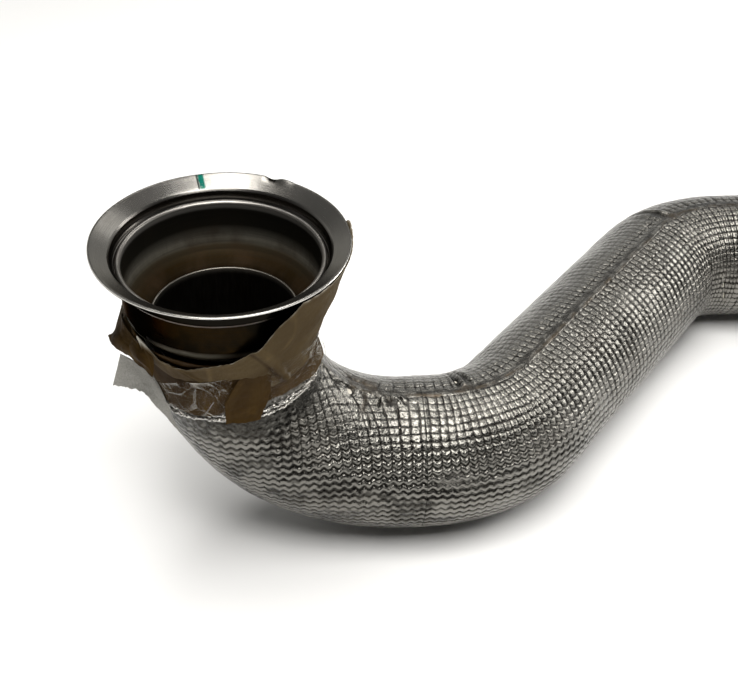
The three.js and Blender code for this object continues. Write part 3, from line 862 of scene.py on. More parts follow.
# ---- fibre mat under the foil ----------------------------------------------------------------------
for where, a, b in (("inlet", 74.0, SHELL_1 - 0.2), ("middle", SHELL_1 + 0.2, SHELL_2 - 0.2), ("outlet", SHELL_2 + 0.2, FOIL_END)):
    for side, d0, d1 in (("front", 0.25, 179.75), ("rear", 180.25, 359.75)):
        ns = int((b - a) / 2.6 / 4) * 4 + 1
        nd = 73
        S, D = np.meshgrid(np.linspace(a, b, ns), np.linspace(d0, d1, nd), indexing="ij")
        quilt = 0.35 * fbm(S / 6.0, D / 6.0, seed=80) - 0.5 * np.exp(-(((S % 22.0) - 11.0) / 1.6) ** 2)
        A = np.where(D > 180, D - 360, D)
        outer = on_pipe(S, D, 56.4 + quilt - pinch(S, A))
        inner = on_pipe(S[::4, ::4], D[::4, ::4], np.minimum(53.4, 55.0 - pinch(S, A)[::4, ::4]))
        ob = shell("mat_%s_%s_needled" % (where, side), outer, inner)
        place(ob, FIBRE, "fibre_mat", "mat_%s_%s" % (where, side))

# ---- embossed foil -----------------------------------------------------------------------------------
ROW = 6.2  # pitch of the wavy rows, round the pipe
COL = 7.25  # pitch of the columns, along the pipe
FOIL_R = 58.45
HEM_LINE = [(0, 124), (20, 123), (30, 121.5), (43, 119), (60, 115.5), (77, 110.8), (95, 105.5), (113, 102.8), (130, 101.5), (180, 101.5), (225, 106), (270, 112), (320, 119), (360, 124)]
PER_DEG = FOIL_R * RAD


def level_knots(front):
    """Arc length against distance on the flat sheet: the front half was laid on the outside of the first level bend."""
    k = 1 + FOIL_R / R2 if front else 1.0
    return [S2, S3, S4, S4 + 900], [0, LINK, LINK + B2 * k, LINK + B2 * k + 900]


def sheet_coords(S, A, front):
    """Columns and rows of the embossing. Each half was pressed from flat embossed sheet, so round the elbow the
    rows stay level and the columns stay upright, and along the level run they follow the pipe."""
    w = (90 - np.abs(A)) * PER_DEG
    a = np.clip(S - S1, 0, S2 - S1) / R1
    rho = R1 - w
    ks, kd = level_knots(front)
    x = np.where(S <= S2, R1 - rho * np.cos(a), R1 + np.interp(S, ks, kd))
    z = np.where(S <= S2, S1 + rho * np.sin(a), S1 + rho)
    return x / COL, z / ROW


def wobble(S, D):
    return 0.055 * noise(S / 15.0, D / 9.0, seed=22), 0.11 * noise(S / 17.0, D / 14.0, seed=21)


def wavy(S, A):
    """1 where the rows are strongly waved and the columns faint: the flanks and undersides of the two first bends."""
    return smooth(36, 54, np.abs(A)) * smooth(450, 370, S) + 0.35 * smooth(45, 70, np.abs(A)) * smooth(370, 450, S)


def wave(U, S, A):
    return (0.045 + 0.135 * wavy(S, A)) * np.sin(2 * np.pi * (U + 0.15))


def relief(U, V, S, A):
    """Height in millimetres, and values for painted shade in the cavities (with wear) and for stains, from the
    pattern's columns and rows.
    """
    D = np.where(A < 0, A + 360, A)
    ss = S / 10.0
    wv = wavy(S, A)
    top = 1 - wv
    wc = smooth(50, 74, np.abs(A)) * smooth(450, 370, S) + 0.35 * smooth(45, 70, np.abs(A)) * smooth(370, 450, S)
    wc = wc * (1 - 0.85 * smooth(188, 166, S) * bump(A, 66, 30))
    fu, fv = U - np.floor(U), V - np.floor(V)
    du = np.minimum(fu, 1 - fu) * COL
    dv = np.minimum(fv, 1 - fv) * ROW
    cu, cv = np.floor(U), np.floor(V)
    onward = smooth(330, 400, S)
    gu = np.exp(-((du / (0.74 + 0.2 * onward * top)) ** 2)) * (0.12 + (0.80 + 0.30 * onward) * (1 - wc))
    gv = np.exp(-((dv / (1.06 - 0.44 * top)) ** 2)) * (1.0 + 0.22 * wv - top * (0.22 - 0.02 * onward))
    flat = (1 - np.clip(gu, 0, 1)) * (1 - np.clip(gv, 0, 1))
    crown = (0.03 + 0.07 * top) * (1 - (2 * fu - 1) ** 2) * (1 - (2 * fv - 1) ** 2)
    tilt = (hash01(cu, cv, 0, 5) - 0.5) * (fu - 0.5) * 0.62 + (hash01(cu, cv, 1, 5) - 0.5) * (fv - 0.5) * 0.62
    tilt = tilt * (1 - 0.35 * wv)
    lift = (hash01(cu, cv, 2, 5) - 0.5) * 0.14 * (1 - 0.5 * wv)
    dim = 0.26 * (hash01(cu, cv, 3, 5) > 0.6) * np.exp(-(((fu - 0.5) * COL) ** 2 + ((fv - 0.5) * ROW) ** 2) / 1.1)
    rear = smooth(-9.0, -20.0, A) * smooth(-178, -150, A)
    depth = 1.0 + 0.25 * noise(ss / 3.0, D / 20.0, seed=23) + 0.22 * noise(ss / 1.1, D / 8.0, seed=29)
    depth = np.clip(depth, 0.45, 1.4) * (1 - 0.62 * rear)
    h = depth * (-0.62 * gu - 0.74 * gv + 0.28 * np.minimum(gu, gv) + (crown + tilt + lift - dim) * flat)
    roll = wv * smooth(112, 84, np.abs(A)) * (0.40 + 0.34 * noise(S / 11.0, D / 9.0, seed=60))
    h = h + np.clip(roll, 0.03 * wv, 0.7) * 0.5 * (1 - np.cos(2 * np.pi * fv))
    h = h + 0.19 * noise(S / 1.6, D / 1.5, seed=36) * (1 - 0.6 * rear) * (1 - 0.35 * wv)
    h = h + 0.24 * (facets(S / 2.9, D / 2.9, seed=37) - 0.4) * (1 - 0.6 * wv) * (1 - 0.8 * rear) * flat
    # painted shade in the grooves of the embossing, a little darker again over the rear shell
    shut = np.clip(1.02 * gu + (0.95 + 0.03 * top) * gv, 0, 1)
    painted_shade_and_wear = (1 - shut * np.clip(depth, 0.2, 1.1) * (1 - 0.3 * rear)) * (1 - 0.36 * rear)
    # loose crumpling near the seam where the first elbow meets the level run
    cr = bump(S, 257, 46) * bump(A, 4, 21)
    cr = np.maximum(cr, 0.8 * bump(S, 205, 28) * bump(A, -4, 18))
    cr = np.maximum(cr, 0.42 * bump(S, 323, 16) * bump(A, -14, 24))
    cr = np.maximum(cr, 0.6 * bump(S, 652, 18) * bump(A, -12, 34))
    crum = facets(S / 7.5, A / 6.5, seed=33) * 2.0 - 0.6 + 0.5 * ridge(S / 5.0, A / 5.0, seed=34)
    h = h * (1 - 0.75 * cr) + cr * crum
    # painted shade in the crumples, lighter on their raised facets
    painted_shade_and_wear = painted_shade_and_wear * (1 - cr) + cr * np.clip(0.30 + 0.55 * crum, 0.02, 1)
    # pressed down and crinkled just past the crimped hem
    past_hem = S - table(HEM_LINE, D % 360)
    hm = smooth(30.0, 8.0, past_hem + 7.0 * noise(D / 9.0, 0.3, seed=38))
    h = h * (1 - 0.72 * hm) + hm * (0.55 * (facets(S / 3.6, D / 3.6, seed=39) - 0.45) + 0.4 * (ridge(S / 4.5, D / 4.0, seed=40) - 0.5))
    # painted shade in the crinkles past the hem
    painted_shade_and_wear = painted_shade_and_wear * (1 - 0.8 * hm) + 0.8 * hm * np.clip(0.22 + 0.55 * noise(S / 2.2, D / 2.2, seed=41), 0, 0.6)
    # scuffed and dulled low on the first bend
    low = smooth(62, 74, A) * smooth(150, 132, A) * smooth(345, 300, S)
    scuff = smooth(0.10, 0.42, noise(S / 13.0, D / 9.0, seed=61)) * low
    h = h * (1 - 0.55 * scuff) + scuff * (0.55 * (facets(S / 5.0, D / 4.4, seed=62) - 0.4) + 0.35 * (ridge(S / 6.0, D / 5.0, seed=64) - 0.5))
    dull = np.clip(0.45 + 1.1 * noise(S / 15.0, D / 11.0, seed=63), 0, 1) * smooth(66, 84, A) * smooth(450, 380, S)
    nape = smooth(176, 150, S) * smooth(12, 26, A) * smooth(92, 70, A)
    dull = np.maximum(dull, nape * np.clip(0.8 + 0.9 * noise(S / 5.0, D / 4.0, seed=67), 0, 1))
    painted_shade_and_wear = painted_shade_and_wear * (1 - 0.42 * scuff * np.clip(0.5 + 1.2 * noise(S / 2.6, D / 2.6, seed=65), 0, 1)) * (1 - 0.48 * dull)
    speck = smooth(0.05, 0.4, noise(S / 1.9, D / 1.7, seed=66)) * bump(S, 300, 85) * bump(A, 30, 30)
    painted_shade_and_wear = painted_shade_and_wear * (1 - 0.62 * speck)
    # smooth ironed band, pit, valley and notch beside it
    iron = bump(S + 2.5 * noise(A / 6.0, 0.4, seed=44), 218, 7.5) * smooth(2, 5, A) * smooth(25, 17, A)
    h = h * (1 - iron) - 0.8 * iron
    painted_shade_and_wear = painted_shade_and_wear * (1 - iron) + (0.16 + 0.2 * np.clip(noise(S / 3.0, A / 3.0, seed=46), 0, 1)) * iron
    dents = [(195, 4, 9, 9, 5.0), (214, -5, 26, 9, 2.4), (234, 2, 5, 5, 3.0), (246, 17, 8, 6, 1.0), (172, 12, 12, 9, 0.9)]
    for s0, a0, ws, wa, deep in dents:
        d = bump(S, s0, ws) * bump(A, a0, wa)
        h = h - deep * d
        # painted shade in the dents
        painted_shade_and_wear = painted_shade_and_wear * (1 - 0.9 * np.clip(d * deep / 2.2, 0, 1))
    # creases: start s, start angle, end s, end angle, half width, depth
    creases = [
        (319, -34, 318, 1, 2.0, 2.0),
        (327, -32, 328, 2, 2.2, 2.3),
        (649, -40, 651, 2, 2.6, 2.8),
        (654, 44, 668, 95, 1.5, 2.4),
        (691, 76, 709, 108, 1.5, 2.2),
        (300, 150, 312, 178, 2.5, 1.2),
        (237, 15, 240, 2, 1.5, 1.5),
        (240, 2, 249, -3, 1.5, 1.6),
        (248, -3, 264, 0, 1.4, 1.5),
        (263, 0, 276, 11, 1.5, 1.4),
        (222, 20, 229, 34, 1.3, 1.0),
        (206, 14, 214, 30, 1.4, 1.1),
        (160, 8, 192, 3, 1.8, 1.4),
    ]
    for s0, a0, s1, a1, wd, deep in creases:
        px, py = S - s0, (A - a0) * 1.02
        qx, qy = s1 - s0, (a1 - a0) * 1.02
        t = np.clip((px * qx + py * qy) / (qx * qx + qy * qy), 0, 1)
        d = np.hypot(px - t * qx, py - t * qy)
        ends = np.sin(np.pi * np.clip(t, 0.04, 0.96)) ** 0.5
        k = np.exp(-((d / wd) ** 2)) * ends
        h = h - deep * k + (0.0 if a0 > 40 else 0.35) * deep * np.exp(-(((d - 2.1 * wd) / wd) ** 2)) * ends
        # painted shade along the creases
        painted_shade_and_wear = painted_shade_and_wear * (1 - 0.93 * k)
    # long soft unevenness, and the pinch on the inner side of the two level bends
    h = h + 0.42 * fbm(S / 46.0, D / 40.0, seed=24) + 0.20 * fbm(S / 15.0, D / 14.0, seed=25)
    h = h - pinch(S, A)
    # ironed strip either side of the seam
    near = np.minimum(np.abs(A), 180 - np.abs(A))
    sway = 0.8 * noise(S / 14.0, 0.2, seed=42)
    low = smooth(3.4, 1.6, 180 - np.abs(A))
    edge = np.maximum(low, smooth(-6.4, -4.8, A + sway) * smooth(4.0, 2.6, A + sway))
    h = h * (1 - 0.85 * edge) + edge * 0.25
    painted_shade_and_wear = painted_shade_and_wear * (1 - edge) + edge * (0.46 + 0.22 * noise(S / 5.0, A / 3.0, seed=26))
    line = np.abs(A - 1.6 + 1.1 * noise(S / 11.0, 0.9, seed=43))
    stain = 0.85 * smooth(1.9, 0.6, line) * np.clip(0.45 + 1.1 * noise(S / 9.0, 0.4, seed=27), 0.0, 1)
    dusk = smooth(186, 196, S) * smooth(246, 234, S) * smooth(-20, -13, A) * smooth(4, -2, A)
    stain = np.maximum(stain, np.maximum(0.7 * dusk, 0.5 * iron) * np.clip(0.75 + 0.5 * noise(S / 5.0, A / 5.0, seed=45), 0, 1))
    stain = np.maximum(stain, 0.9 * bump(S, 655, 10) * bump(A, -1, 7))
    stain = np.maximum(stain, 0.6 * bump(S, 322, 9) * bump(A, -3, 7))
    stain = np.clip(stain + 0.10 * np.clip(noise(S / 30.0, D / 30.0, seed=28), 0, 1), 0, 1)
    return h, np.clip(painted_shade_and_wear, 0, 1), stain


def padded_samples(values, k):
    """Splits the widest gaps until the count is one more than a multiple of k."""
    v = list(values)
    while (len(v) - 1) % k:
        gaps = np.diff(v)
        i = int(np.argmax(gaps))
        v.insert(i + 1, (v[i] + v[i + 1]) / 2)
    return np.array(v)


def cell_samples(lo, hi, offsets, k):
    """Sample positions in cells, close together at the grooves and wide apart between them."""
    base = np.arange(math.floor(lo) - 1, math.ceil(hi) + 2)
    v = (base[:, None] + np.array(offsets)[None, :]).ravel()
    v = v[(v > lo + 0.03) & (v < hi - 0.03)]
    return padded_samples(np.concatenate([[lo], np.sort(v), [hi]]), k)


def foil_shell(where, side, a, b, step):
    k = 7
    front = side == "front"
    d0, d1 = (-2.4, 182.4) if front else (180.2, 359.8)
    if where == "inlet":
        ns = int(math.ceil((b - a) / step / k)) * k + 1
        nd = int(math.ceil((d1 - d0) * PER_DEG / step / k)) * k + 1
        D = np.broadcast_to(np.linspace(d0, d1, nd)[None, :], (ns, nd))
        start = table(HEM_LINE, D % 360)
        S = start + (b - start) * np.linspace(0, 1, ns)[:, None]
        A = D if front else D - 360
        U, V = sheet_coords(S, A, front)
        wu, wv = wobble(S, D)
        V = V + wave(U, S, A) + wv
        U = U + wu
    else:
        ks, kd = level_knots(front)
        u0, u1 = ((R1 + np.interp(q, ks, kd)) / COL for q in (a, b))
        v_of = lambda d: (S1 + R1 - (90 - d) * PER_DEG) / ROW  # rows against the angle from the seam
        v0, v1 = (v_of(d0), v_of(d1)) if front else (v_of(360 - d1), v_of(360 - d0))
        us = cell_samples(u0, u1, [-0.13, -0.065, 0.0, 0.065, 0.13, 0.36, 0.64], k)
        vs = cell_samples(v0, v1, [-0.16, -0.08, 0.0, 0.08, 0.16, 0.38, 0.62], k)
        U, V = np.meshgrid(us, vs, indexing="ij")
        S0 = np.interp(U * COL - R1, kd, ks)
        A0 = 90 - (S1 + R1 - V * ROW) / PER_DEG
        if not front:
            A0 = -A0
        D0 = np.where(A0 < 0, A0 + 360, A0) if not front else A0
        wu, wv = wobble(S0, D0)
        near = np.minimum(np.abs(A0), 180 - np.abs(A0))
        fade = smooth(2.6, 7.0, near)
        if front:
            fade = fade * (A0 > 0) * (A0 < 180)
        ends = smooth(0.0, 9.0, np.minimum(S0 - a, b - S0))
        turn = -(wave(U, S0, A0) + wv) * fade * ROW / PER_DEG
        A = A0 + (turn if front else -turn)
        S = np.interp((U - wu * ends) * COL - R1, kd, ks)
        D = A if front else A + 360
    h, painted_shade_and_wear, stain = relief(U, V, S, A)
    if front:  # the front half laps over the rear one along the seam
        past = np.maximum(-D, D - 180)
        h = h + 0.62 * smooth(-5.5, -2.0, past)
        # painted shadow: a darker line along the front half's lapped edge
        painted_shade_and_wear = painted_shade_and_wear * (1 - 0.5 * bump(past, 1.9, 0.9))
    else:
        under = np.minimum(D - 180, 360 - D)
        h = h - 0.35 * smooth(4.0, 1.5, under)
        # painted shade: the rear half darker where it runs under the lap
        painted_shade_and_wear = painted_shade_and_wear * (1 - 0.6 * smooth(3.6, 2.2, under))
    outer = on_pipe(S, D, FOIL_R + h)
    outer[..., 2] = np.maximum(outer[..., 2], -258.5)  # it rests on the surface under it
    Si, Di, hi = S[::k, ::k], D[::k, ::k], h[::k, ::k]
    inner_h = np.minimum(hi - 0.35, -1.15 - pinch(Si, np.where(Di > 182.4, Di - 360, Di)))
    if front:
        inner_h = np.where(np.maximum(-Di, Di - 180) > -3.0, hi - 0.3, inner_h)
    inner = on_pipe(Si, Di, FOIL_R + inner_h)
    ob = shell("foil_%s_%s_embossed" % (where, side), outer, inner, attrs={"painted_shade_and_wear": painted_shade_and_wear, "stain": stain})
    place(ob, FOIL, "embossed_foil", "foil_%s_%s" % (where, side))
    return ob


for where, a, b in (("inlet", 114.0, SHELL_1 - 0.1), ("middle", SHELL_1 + 0.1, SHELL_2 - 0.1), ("outlet", SHELL_2 + 0.1, FOIL_END)):
    for side in ("front", "rear"):
        foil_shell(where, side, a, b, 0.62 if side == "front" else 0.75)


PAPER_FOOT = [(-20, 121), (0, 121), (14, 119.5), (22, 117), (31, 111.5), (40, 105), (49, 101.5), (62, 99.5), (80, 99), (96, 98.2), (110, 99), (120, 98.8), (127, 96), (136, 94), (150, 96), (180, 98), (215, 104), (250, 110), (290, 116), (340, 121)]


def paper_foot(D):
    return table(PAPER_FOOT, np.where(D % 360 > 340, D % 360 - 360, D % 360))


def hem(name, node, line, bands, base, seed, count=1200):
    """A crinkled strip of foil round the pipe. bands lists (offset along the pipe, height)."""
    deg = np.arange(count) * 360 / count
    off = np.array([o for o, _ in bands], float)
    hgt = np.array([q for _, q in bands], float)
    D, O = np.meshgrid(deg, off, indexing="ij")
    _, H = np.meshgrid(deg, hgt, indexing="ij")
    c = D / 360 * 60  # closes on itself: the noise below is sampled on a circle
    cx, cy = 9.0 * np.cos(D * RAD), 9.0 * np.sin(D * RAD)
    crinkle = 0.8 * noise(cx * 2.6, cy * 2.6, O / 3.0, seed=seed) + 0.9 * noise(cx * 6.5, cy * 6.5, O / 1.6, seed=seed + 1)
    S = table(line, D) + O + 0.7 * noise(cx * 1.4, cy * 1.4, 0.5, seed=seed + 2)
    free = smooth(-0.6, 2.2, S - paper_foot(D))
    top = smooth(0.15, 0.6, H) * free
    R = base + H * (0.12 + 0.88 * free) + top * 1.0 * np.clip(crinkle, -1, 0.9)
    # painted shade: darker in the low folds and the crinkles' hollows, lighter on their crests
    painted_shade_and_wear = np.clip(0.10 + 0.75 * H / max(hgt) + 0.42 * crinkle, 0, 1)
    g = on_pipe(S, D, R)
    ni, nj = g.shape[:2]
    idx = np.arange(ni * nj).reshape(ni, nj)
    a = np.roll(idx, -1, 0)
    q = np.stack([idx, np.roll(idx, -1, 1), np.roll(a, -1, 1), a], -1).reshape(-1, 4)
    ob = build(name, g.reshape(-1, 3), q, attrs={"painted_shade_and_wear": painted_shade_and_wear, "stain": 0.12 * np.clip(crinkle, 0, 1)})
    place(ob, HEM, "bright_foil", node)


ridge_a = [(o, 2.1 * max(0.0, math.sin(math.pi * (o + 6.4) / 3.6)) ** 0.8) for o in np.linspace(-6.4, -2.8, 10)]
ridge_b = [(o, 1.9 * max(0.0, math.sin(math.pi * (o + 2.2) / 3.4)) ** 0.8) for o in np.linspace(-2.2, 1.2, 10)]
hem("foil_hem_inlet_crimped", "foil_hem_inlet", HEM_LINE, [(-19.0, -0.9), (-13.0, -0.2), (-9.0, -0.1)] + ridge_a + [(-2.5, -0.3)] + ridge_b + [(1.6, -0.9), (-4.0, -1.3), (-12.0, -1.3)], 58.7, 91)

oh = [(FOIL_END - 3.0, 58.9), (FOIL_END - 0.5, 59.2), (FOIL_END + 1.5, 58.7), (FOIL_END + 3.2, 57.3), (FOIL_END + 5.5, 54.8), (FOIL_END + 8.0, 52.5), (FOIL_END + 9.4, 51.6)]
oh = oh + [(FOIL_END + 9.3, 51.1), (FOIL_END + 7.6, 51.8), (FOIL_END + 5.0, 54.2), (FOIL_END + 2.7, 56.7), (FOIL_END + 1.0, 58.0), (FOIL_END - 3.0, 58.3)]
oh = dense(np.array(oh), 0.8)


def pleats(D, S, R):
    k = smooth(FOIL_END - 1, FOIL_END + 3, S)
    cx, cy = 9.0 * np.cos(D * RAD), 9.0 * np.sin(D * RAD)
    p = np.abs(((D / 7.5) % 1.0) - 0.5) * 2
    lift = smooth(50.9, 52.2, R)
    return S + 0.3 * noise(cx, cy, 0.1, seed=96) * k, R + lift * k * (0.9 * p - 0.35) + lift * 0.2 * noise(cx * 4, cy * 4, S / 2.0, seed=97)


# painted shade between the pleats, lighter along their raised folds
ob = tube("foil_hem_outlet_crimped", None, oh, 720, pleats, {"painted_shade_and_wear": lambda D, S, R: np.clip(0.45 + 0.5 * np.abs(((D / 7.5) % 1.0) - 0.5) * 2, 0, 1), "stain": lambda D, S, R: 0 * R})
place(ob, HEM, "bright_foil", "foil_hem_outlet")

# ---- kraft paper ------------------------------------------------------------------------------------------
BAND_R = [(48, 69.4), (50, 68.9), (56, 66.2), (66, 62.0), (73, 60.2), (90, 60.0), (98, 60.4), (108, 61.2), (118, 61.9), (128, 62.0)]


def wrap_paper(name, d0, d1, top, foot, radius, nd, ns, seed, amount, thick=0.45, extra=None):
    u = np.linspace(0, 1, ns)[:, None]
    D = np.broadcast_to(np.linspace(d0, d1, nd)[None, :], (ns, nd))
    s0 = top(D)
    s1 = foot(D)
    S = s0 + (s1 - s0) * u
    cr = facets(D / 11.0, S / 10.0, seed=seed)
    rd = ridge(D / 16.0, S / 22.0, D / 60.0, seed=seed + 1)
    fine = noise(D / 3.4, S / 3.4, seed=seed + 2)
    h = amount * (cr * 1.0 - 0.1) + amount * 0.7 * (rd - 0.4) + amount * 0.14 * fine
    R = radius(S, D) + h
    if extra is not None:
        R = R + extra(S, D)
    g = on_pipe(S, D, R)
    crease = np.clip(rd * 0.9 + 0.4 * (cr > 0.6), 0, 1)
    return g, S, D, h, crease


# band: goes all the way round with a lap on the far side
g, S, D, h, crease = wrap_paper(
    "kraft_band",
    -132,
    232,
    lambda D: 51.0 + 2.0 * noise(D / 18.0, 0.2, seed=101),
    lambda D: paper_foot(D) + 1.2 * noise(D / 6.0, 0.7, seed=102),
    lambda S, D: table(BAND_R, S) + 0.25 + 0.9 * smooth(190, 232, D),
    365,
    57,
    103,
    0.75,
)
band = skin("kraft_band_wrapped", g, 0.35, {"crease": crease, "shade": np.clip(0.62 + 0.30 * smooth(85, 60, S) + 0.30 * noise(D / 21.0, S / 15.0, seed=105) - 0.25 * smooth(96, 106, S) * smooth(60, 40, D) * smooth(0, 12, D), 0, 1)})
place(band, KRAFT_WAXED, "kraft_paper", "kraft_band")

# loose cone on the outlet side, with the folded strip that runs on round the near side
CONE_TOP = [(-140, -56), (-138, -47), (-136.2, -37.5), (-135.2, -37.0), (-132.6, -43.5), (-129.5, -49.5), (-127, -55.2), (-119.9, -55.4), (-110.6, -57.7), (-98.9, -51.1), (-84.9, -46.3), (-80.4, -42.4), (-76, -38.6), (-69.9, -35), (-67, -27), (-64.2, -19.8), (-60.3, -14.4), (-56.5, -7.5), (-53.2, -2.6), (-48, -2.4), (-20, -1.8), (-2, -1.0), (6, 0.4), (11, 1.7), (13, 0.6), (15, -3.5), (20, -6), (28, -10), (36, -14), (46, -20), (54, -25), (62, -31)]
CONE_FOOT = [(-140, -59), (-135, -66), (-130, -70), (-122, -72.5), (-113, -71.6), (-101, -68.5), (-90, -66), (-77, -66.5), (-71, -70), (-66, -80), (-60, -82), (62, -82)]
nd, ns = 411, 53
D = np.broadcast_to(np.linspace(-140, 62, nd)[None, :], (ns, nd))
v = np.linspace(0, 1, ns)[:, None]
top = table(CONE_TOP, D) + 0.5 * noise(D / 1.6, 0.3, seed=111) + 0.3 * noise(D / 0.7, 1.3, seed=112)
foot = table(CONE_FOOT, D) + 0.6 * noise(D / 3.0, 2.3, seed=113)
Z = top + (foot - top) * v
coneR = np.maximum(86.9 + 0.3373 * Z, 61.6)
loose = smooth(-78, -50, D)
strip = smooth(-66, -80, D)
cr = facets(D / 15.0, Z / 15.0, seed=114)
rd = ridge(D / 22.0, Z / 30.0, D / 70.0, seed=115)
h = (0.5 + 0.9 * loose * smooth(-8, -30, Z)) * (cr - 0.2) + 0.6 * (rd - 0.4) + 0.12 * noise(D / 3.0, Z / 3.0, seed=116)
h = h * smooth(3, -10, Z) - 0.2
h = h + 1.3 * strip * smooth(0.25, 0.0, v) * (0.6 + 0.4 * noise(D / 9.0, 0.4, seed=117))  # the strip's top edge lifts
h = h + 2.4 * np.exp(-(((D + 74.5 + 0.55 * (Z + 35)) / 2.8) ** 2)) * smooth(-30, -42, Z)  # fold that runs down to the tongue
fold2 = Z + 55.5 + 0.94 * (D + 119)
along2 = smooth(-124, -119, D) * smooth(-97, -101, D)
h = h + (1.5 * np.exp(-(((fold2 - 1.0) / 1.6) ** 2)) - 0.5 * np.exp(-(((fold2 + 2.2) / 1.6) ** 2))) * along2
g = polar(D, np.maximum(coneR + h, 62.2 + 0 * Z), Z)
tip = bump(D, -135.6, 6.0) * smooth(-53, -45, Z)
rip = np.clip(tip + 0.55 * smooth(0.03, 0.0, v) * (0.5 + 0.5 * noise(D / 2.3, 0.7, seed=119)), 0, 1)
# shade: darker towards the bottom and in patches, painted shade on the loose part's facets, and painted shadow lines
# beside the two folds
cone = skin("kraft_cone_loose", g, 0.4, {"torn": rip, "crease": np.clip(0.9 * rd, 0, 1), "shade": np.clip(0.25 * smooth(-55, -75, Z) + 0.30 * noise(D / 17.0, Z / 17.0, seed=118) + 0.28 * (cr - 0.4) * loose + 0.8 * np.exp(-(((fold2 + 2.0) / 1.2) ** 2)) * along2 + 0.95 * np.exp(-(((D + 78.3 + 0.55 * (Z + 35)) / 1.6) ** 2)) * smooth(-30, -42, Z), 0, 1)})
place(cone, KRAFT, "kraft_paper", "kraft_cone")

# torn tongue over the band and the hem
nd, ns = 49, 73
u = np.linspace(0, 1, nd)[None, :]
v = np.linspace(0, 1, ns)[:, None]
left_d = table([(0, 80), (0.25, 86), (0.55, 92.0), (1, 94.0)], v)
right_d = table([(0, 60), (0.4, 62.0), (0.8, 69.5), (1, 74.0)], v)
D = left_d + (right_d - left_d) * u + 0.5 * noise(v * 14.0, u * 3, seed=121)
left_s = table([(0, 66), (0.3, 79), (0.6, 91), (1, 103.6)], v)
right_s = table([(0, 66), (0.3, 82), (0.6, 96), (1, 110.2)], v)
S = left_s + (right_s - left_s) * u + v * 0.6 * noise(u * 9.0, v * 2, seed=122)
R = table([(60, 63.6), (72, 62.6), (95, 62.6), (104, 63.2), (116, 63.6)], S) + 0.5 * facets(u * 3.0, v * 4.0, seed=123) + 0.25 * noise(u * 8, v * 11, seed=124)
R = R + 1.2 * smooth(0.25, 0.0, u) * smooth(0.0, 0.5, v) + 0.7 * smooth(0.9, 1.0, v)
g = on_pipe(S, D, R)
tongue = skin("kraft_tongue_torn", g, 0.4, {"crease": np.clip(ridge(u * 3.0, v * 4.0, seed=125) * 0.8, 0, 1) + 0 * S, "shade": np.clip(0.50 + 0.35 * noise(u * 3, v * 3, seed=126) + 0.25 * (ridge(u * 3.0, v * 4.0, seed=127) - 0.5), 0, 1)})
place(tongue, KRAFT_WAXED, "kraft_paper", "kraft_tongue")


def net_surface(net, ni, nj):
    """A smooth surface through a small net of points."""
    net = np.array(net, float)

    def axis(a, count, ax):
        n = a.shape[ax]
        t = np.linspace(0, n - 1, count)
        i = np.clip(np.floor(t).astype(int), 0, n - 2)
        f = t - i
        a = np.moveaxis(a, ax, 0)
        p0, p1, p2, p3 = a[np.maximum(i - 1, 0)], a[i], a[i + 1], a[np.minimum(i + 2, n - 1)]
        f = f[:, None, None]
        out = 0.5 * (2 * p1 + (p2 - p0) * f + (2 * p0 - 5 * p1 + 4 * p2 - p3) * f**2 + (3 * p1 - p0 - 3 * p2 + p3) * f**3)
        return np.moveaxis(out, 0, ax)

    return axis(axis(net, ni, 0), nj, 1)


SCRAP = [
    [(-67.9, -2.0, -46.9), (-64.9, -14.0, -47.3), (-62.2, -24.0, -48.3), (-56.6, -36.0, -48.2), (-49.8, -46.0, -51.1), (-45.7, -50.0, -55.4)],
    [(-71.9, -6.0, -58.5), (-67.9, -18.0, -56.1), (-63.4, -28.0, -55.1), (-57.6, -40.0, -54.1), (-50.3, -49.0, -58.0), (-45.4, -53.0, -64.1)],
    [(-74.7, -12.0, -64.8), (-72.2, -22.0, -62.0), (-66.6, -32.0, -60.1), (-59.8, -42.0, -60.4), (-51.3, -50.0, -63.9), (-46.4, -54.5, -68.3)],
    [(-78.9, -14.0, -66.7), (-75.3, -22.0, -68.1), (-68.2, -30.0, -69.6), (-59.9, -40.0, -68.6), (-51.2, -49.0, -69.1), (-46.7, -54.5, -71.0)],
]
g = net_surface(SCRAP, 41, 81)
u = np.linspace(0, 1, 81)[None, :]
v = np.linspace(0, 1, 41)[:, None]
amt = 3.3 * np.sin(np.pi * np.clip(u, 0.0, 0.93))
g = g + normals(g) * (amt * (facets(u * 5.0, v * 3.2, seed=131) - 0.35) + 0.5 * (ridge(u * 5, v * 4, seed=132) - 0.5))[..., None]
g = g + np.stack([0 * u * v, 0 * u * v, 1.0 * noise(u * 16, 0.4 + 0 * v, seed=133) * ((v < 0.04) | (v > 0.96))], -1)
# shade: painted shade following the crumpled facets, darker towards its lower edge and in patches
scrap = skin("kraft_scrap_crumpled", g, 0.4, {"crease": np.clip(ridge(u * 5, v * 3.4, seed=134), 0, 1) + 0 * u * v, "shade": np.clip(0.10 + 0.35 * smooth(0.35, 0.9, v) + 0.9 * (facets(u * 5.0, v * 3.2, seed=131) - 0.45) + 0.3 * noise(u * 7, v * 4, seed=135), 0, 1)})
place(scrap, KRAFT_WAXED, "kraft_paper", "kraft_scrap")

# ---- tape ------------------------------------------------------------------------------------------------------


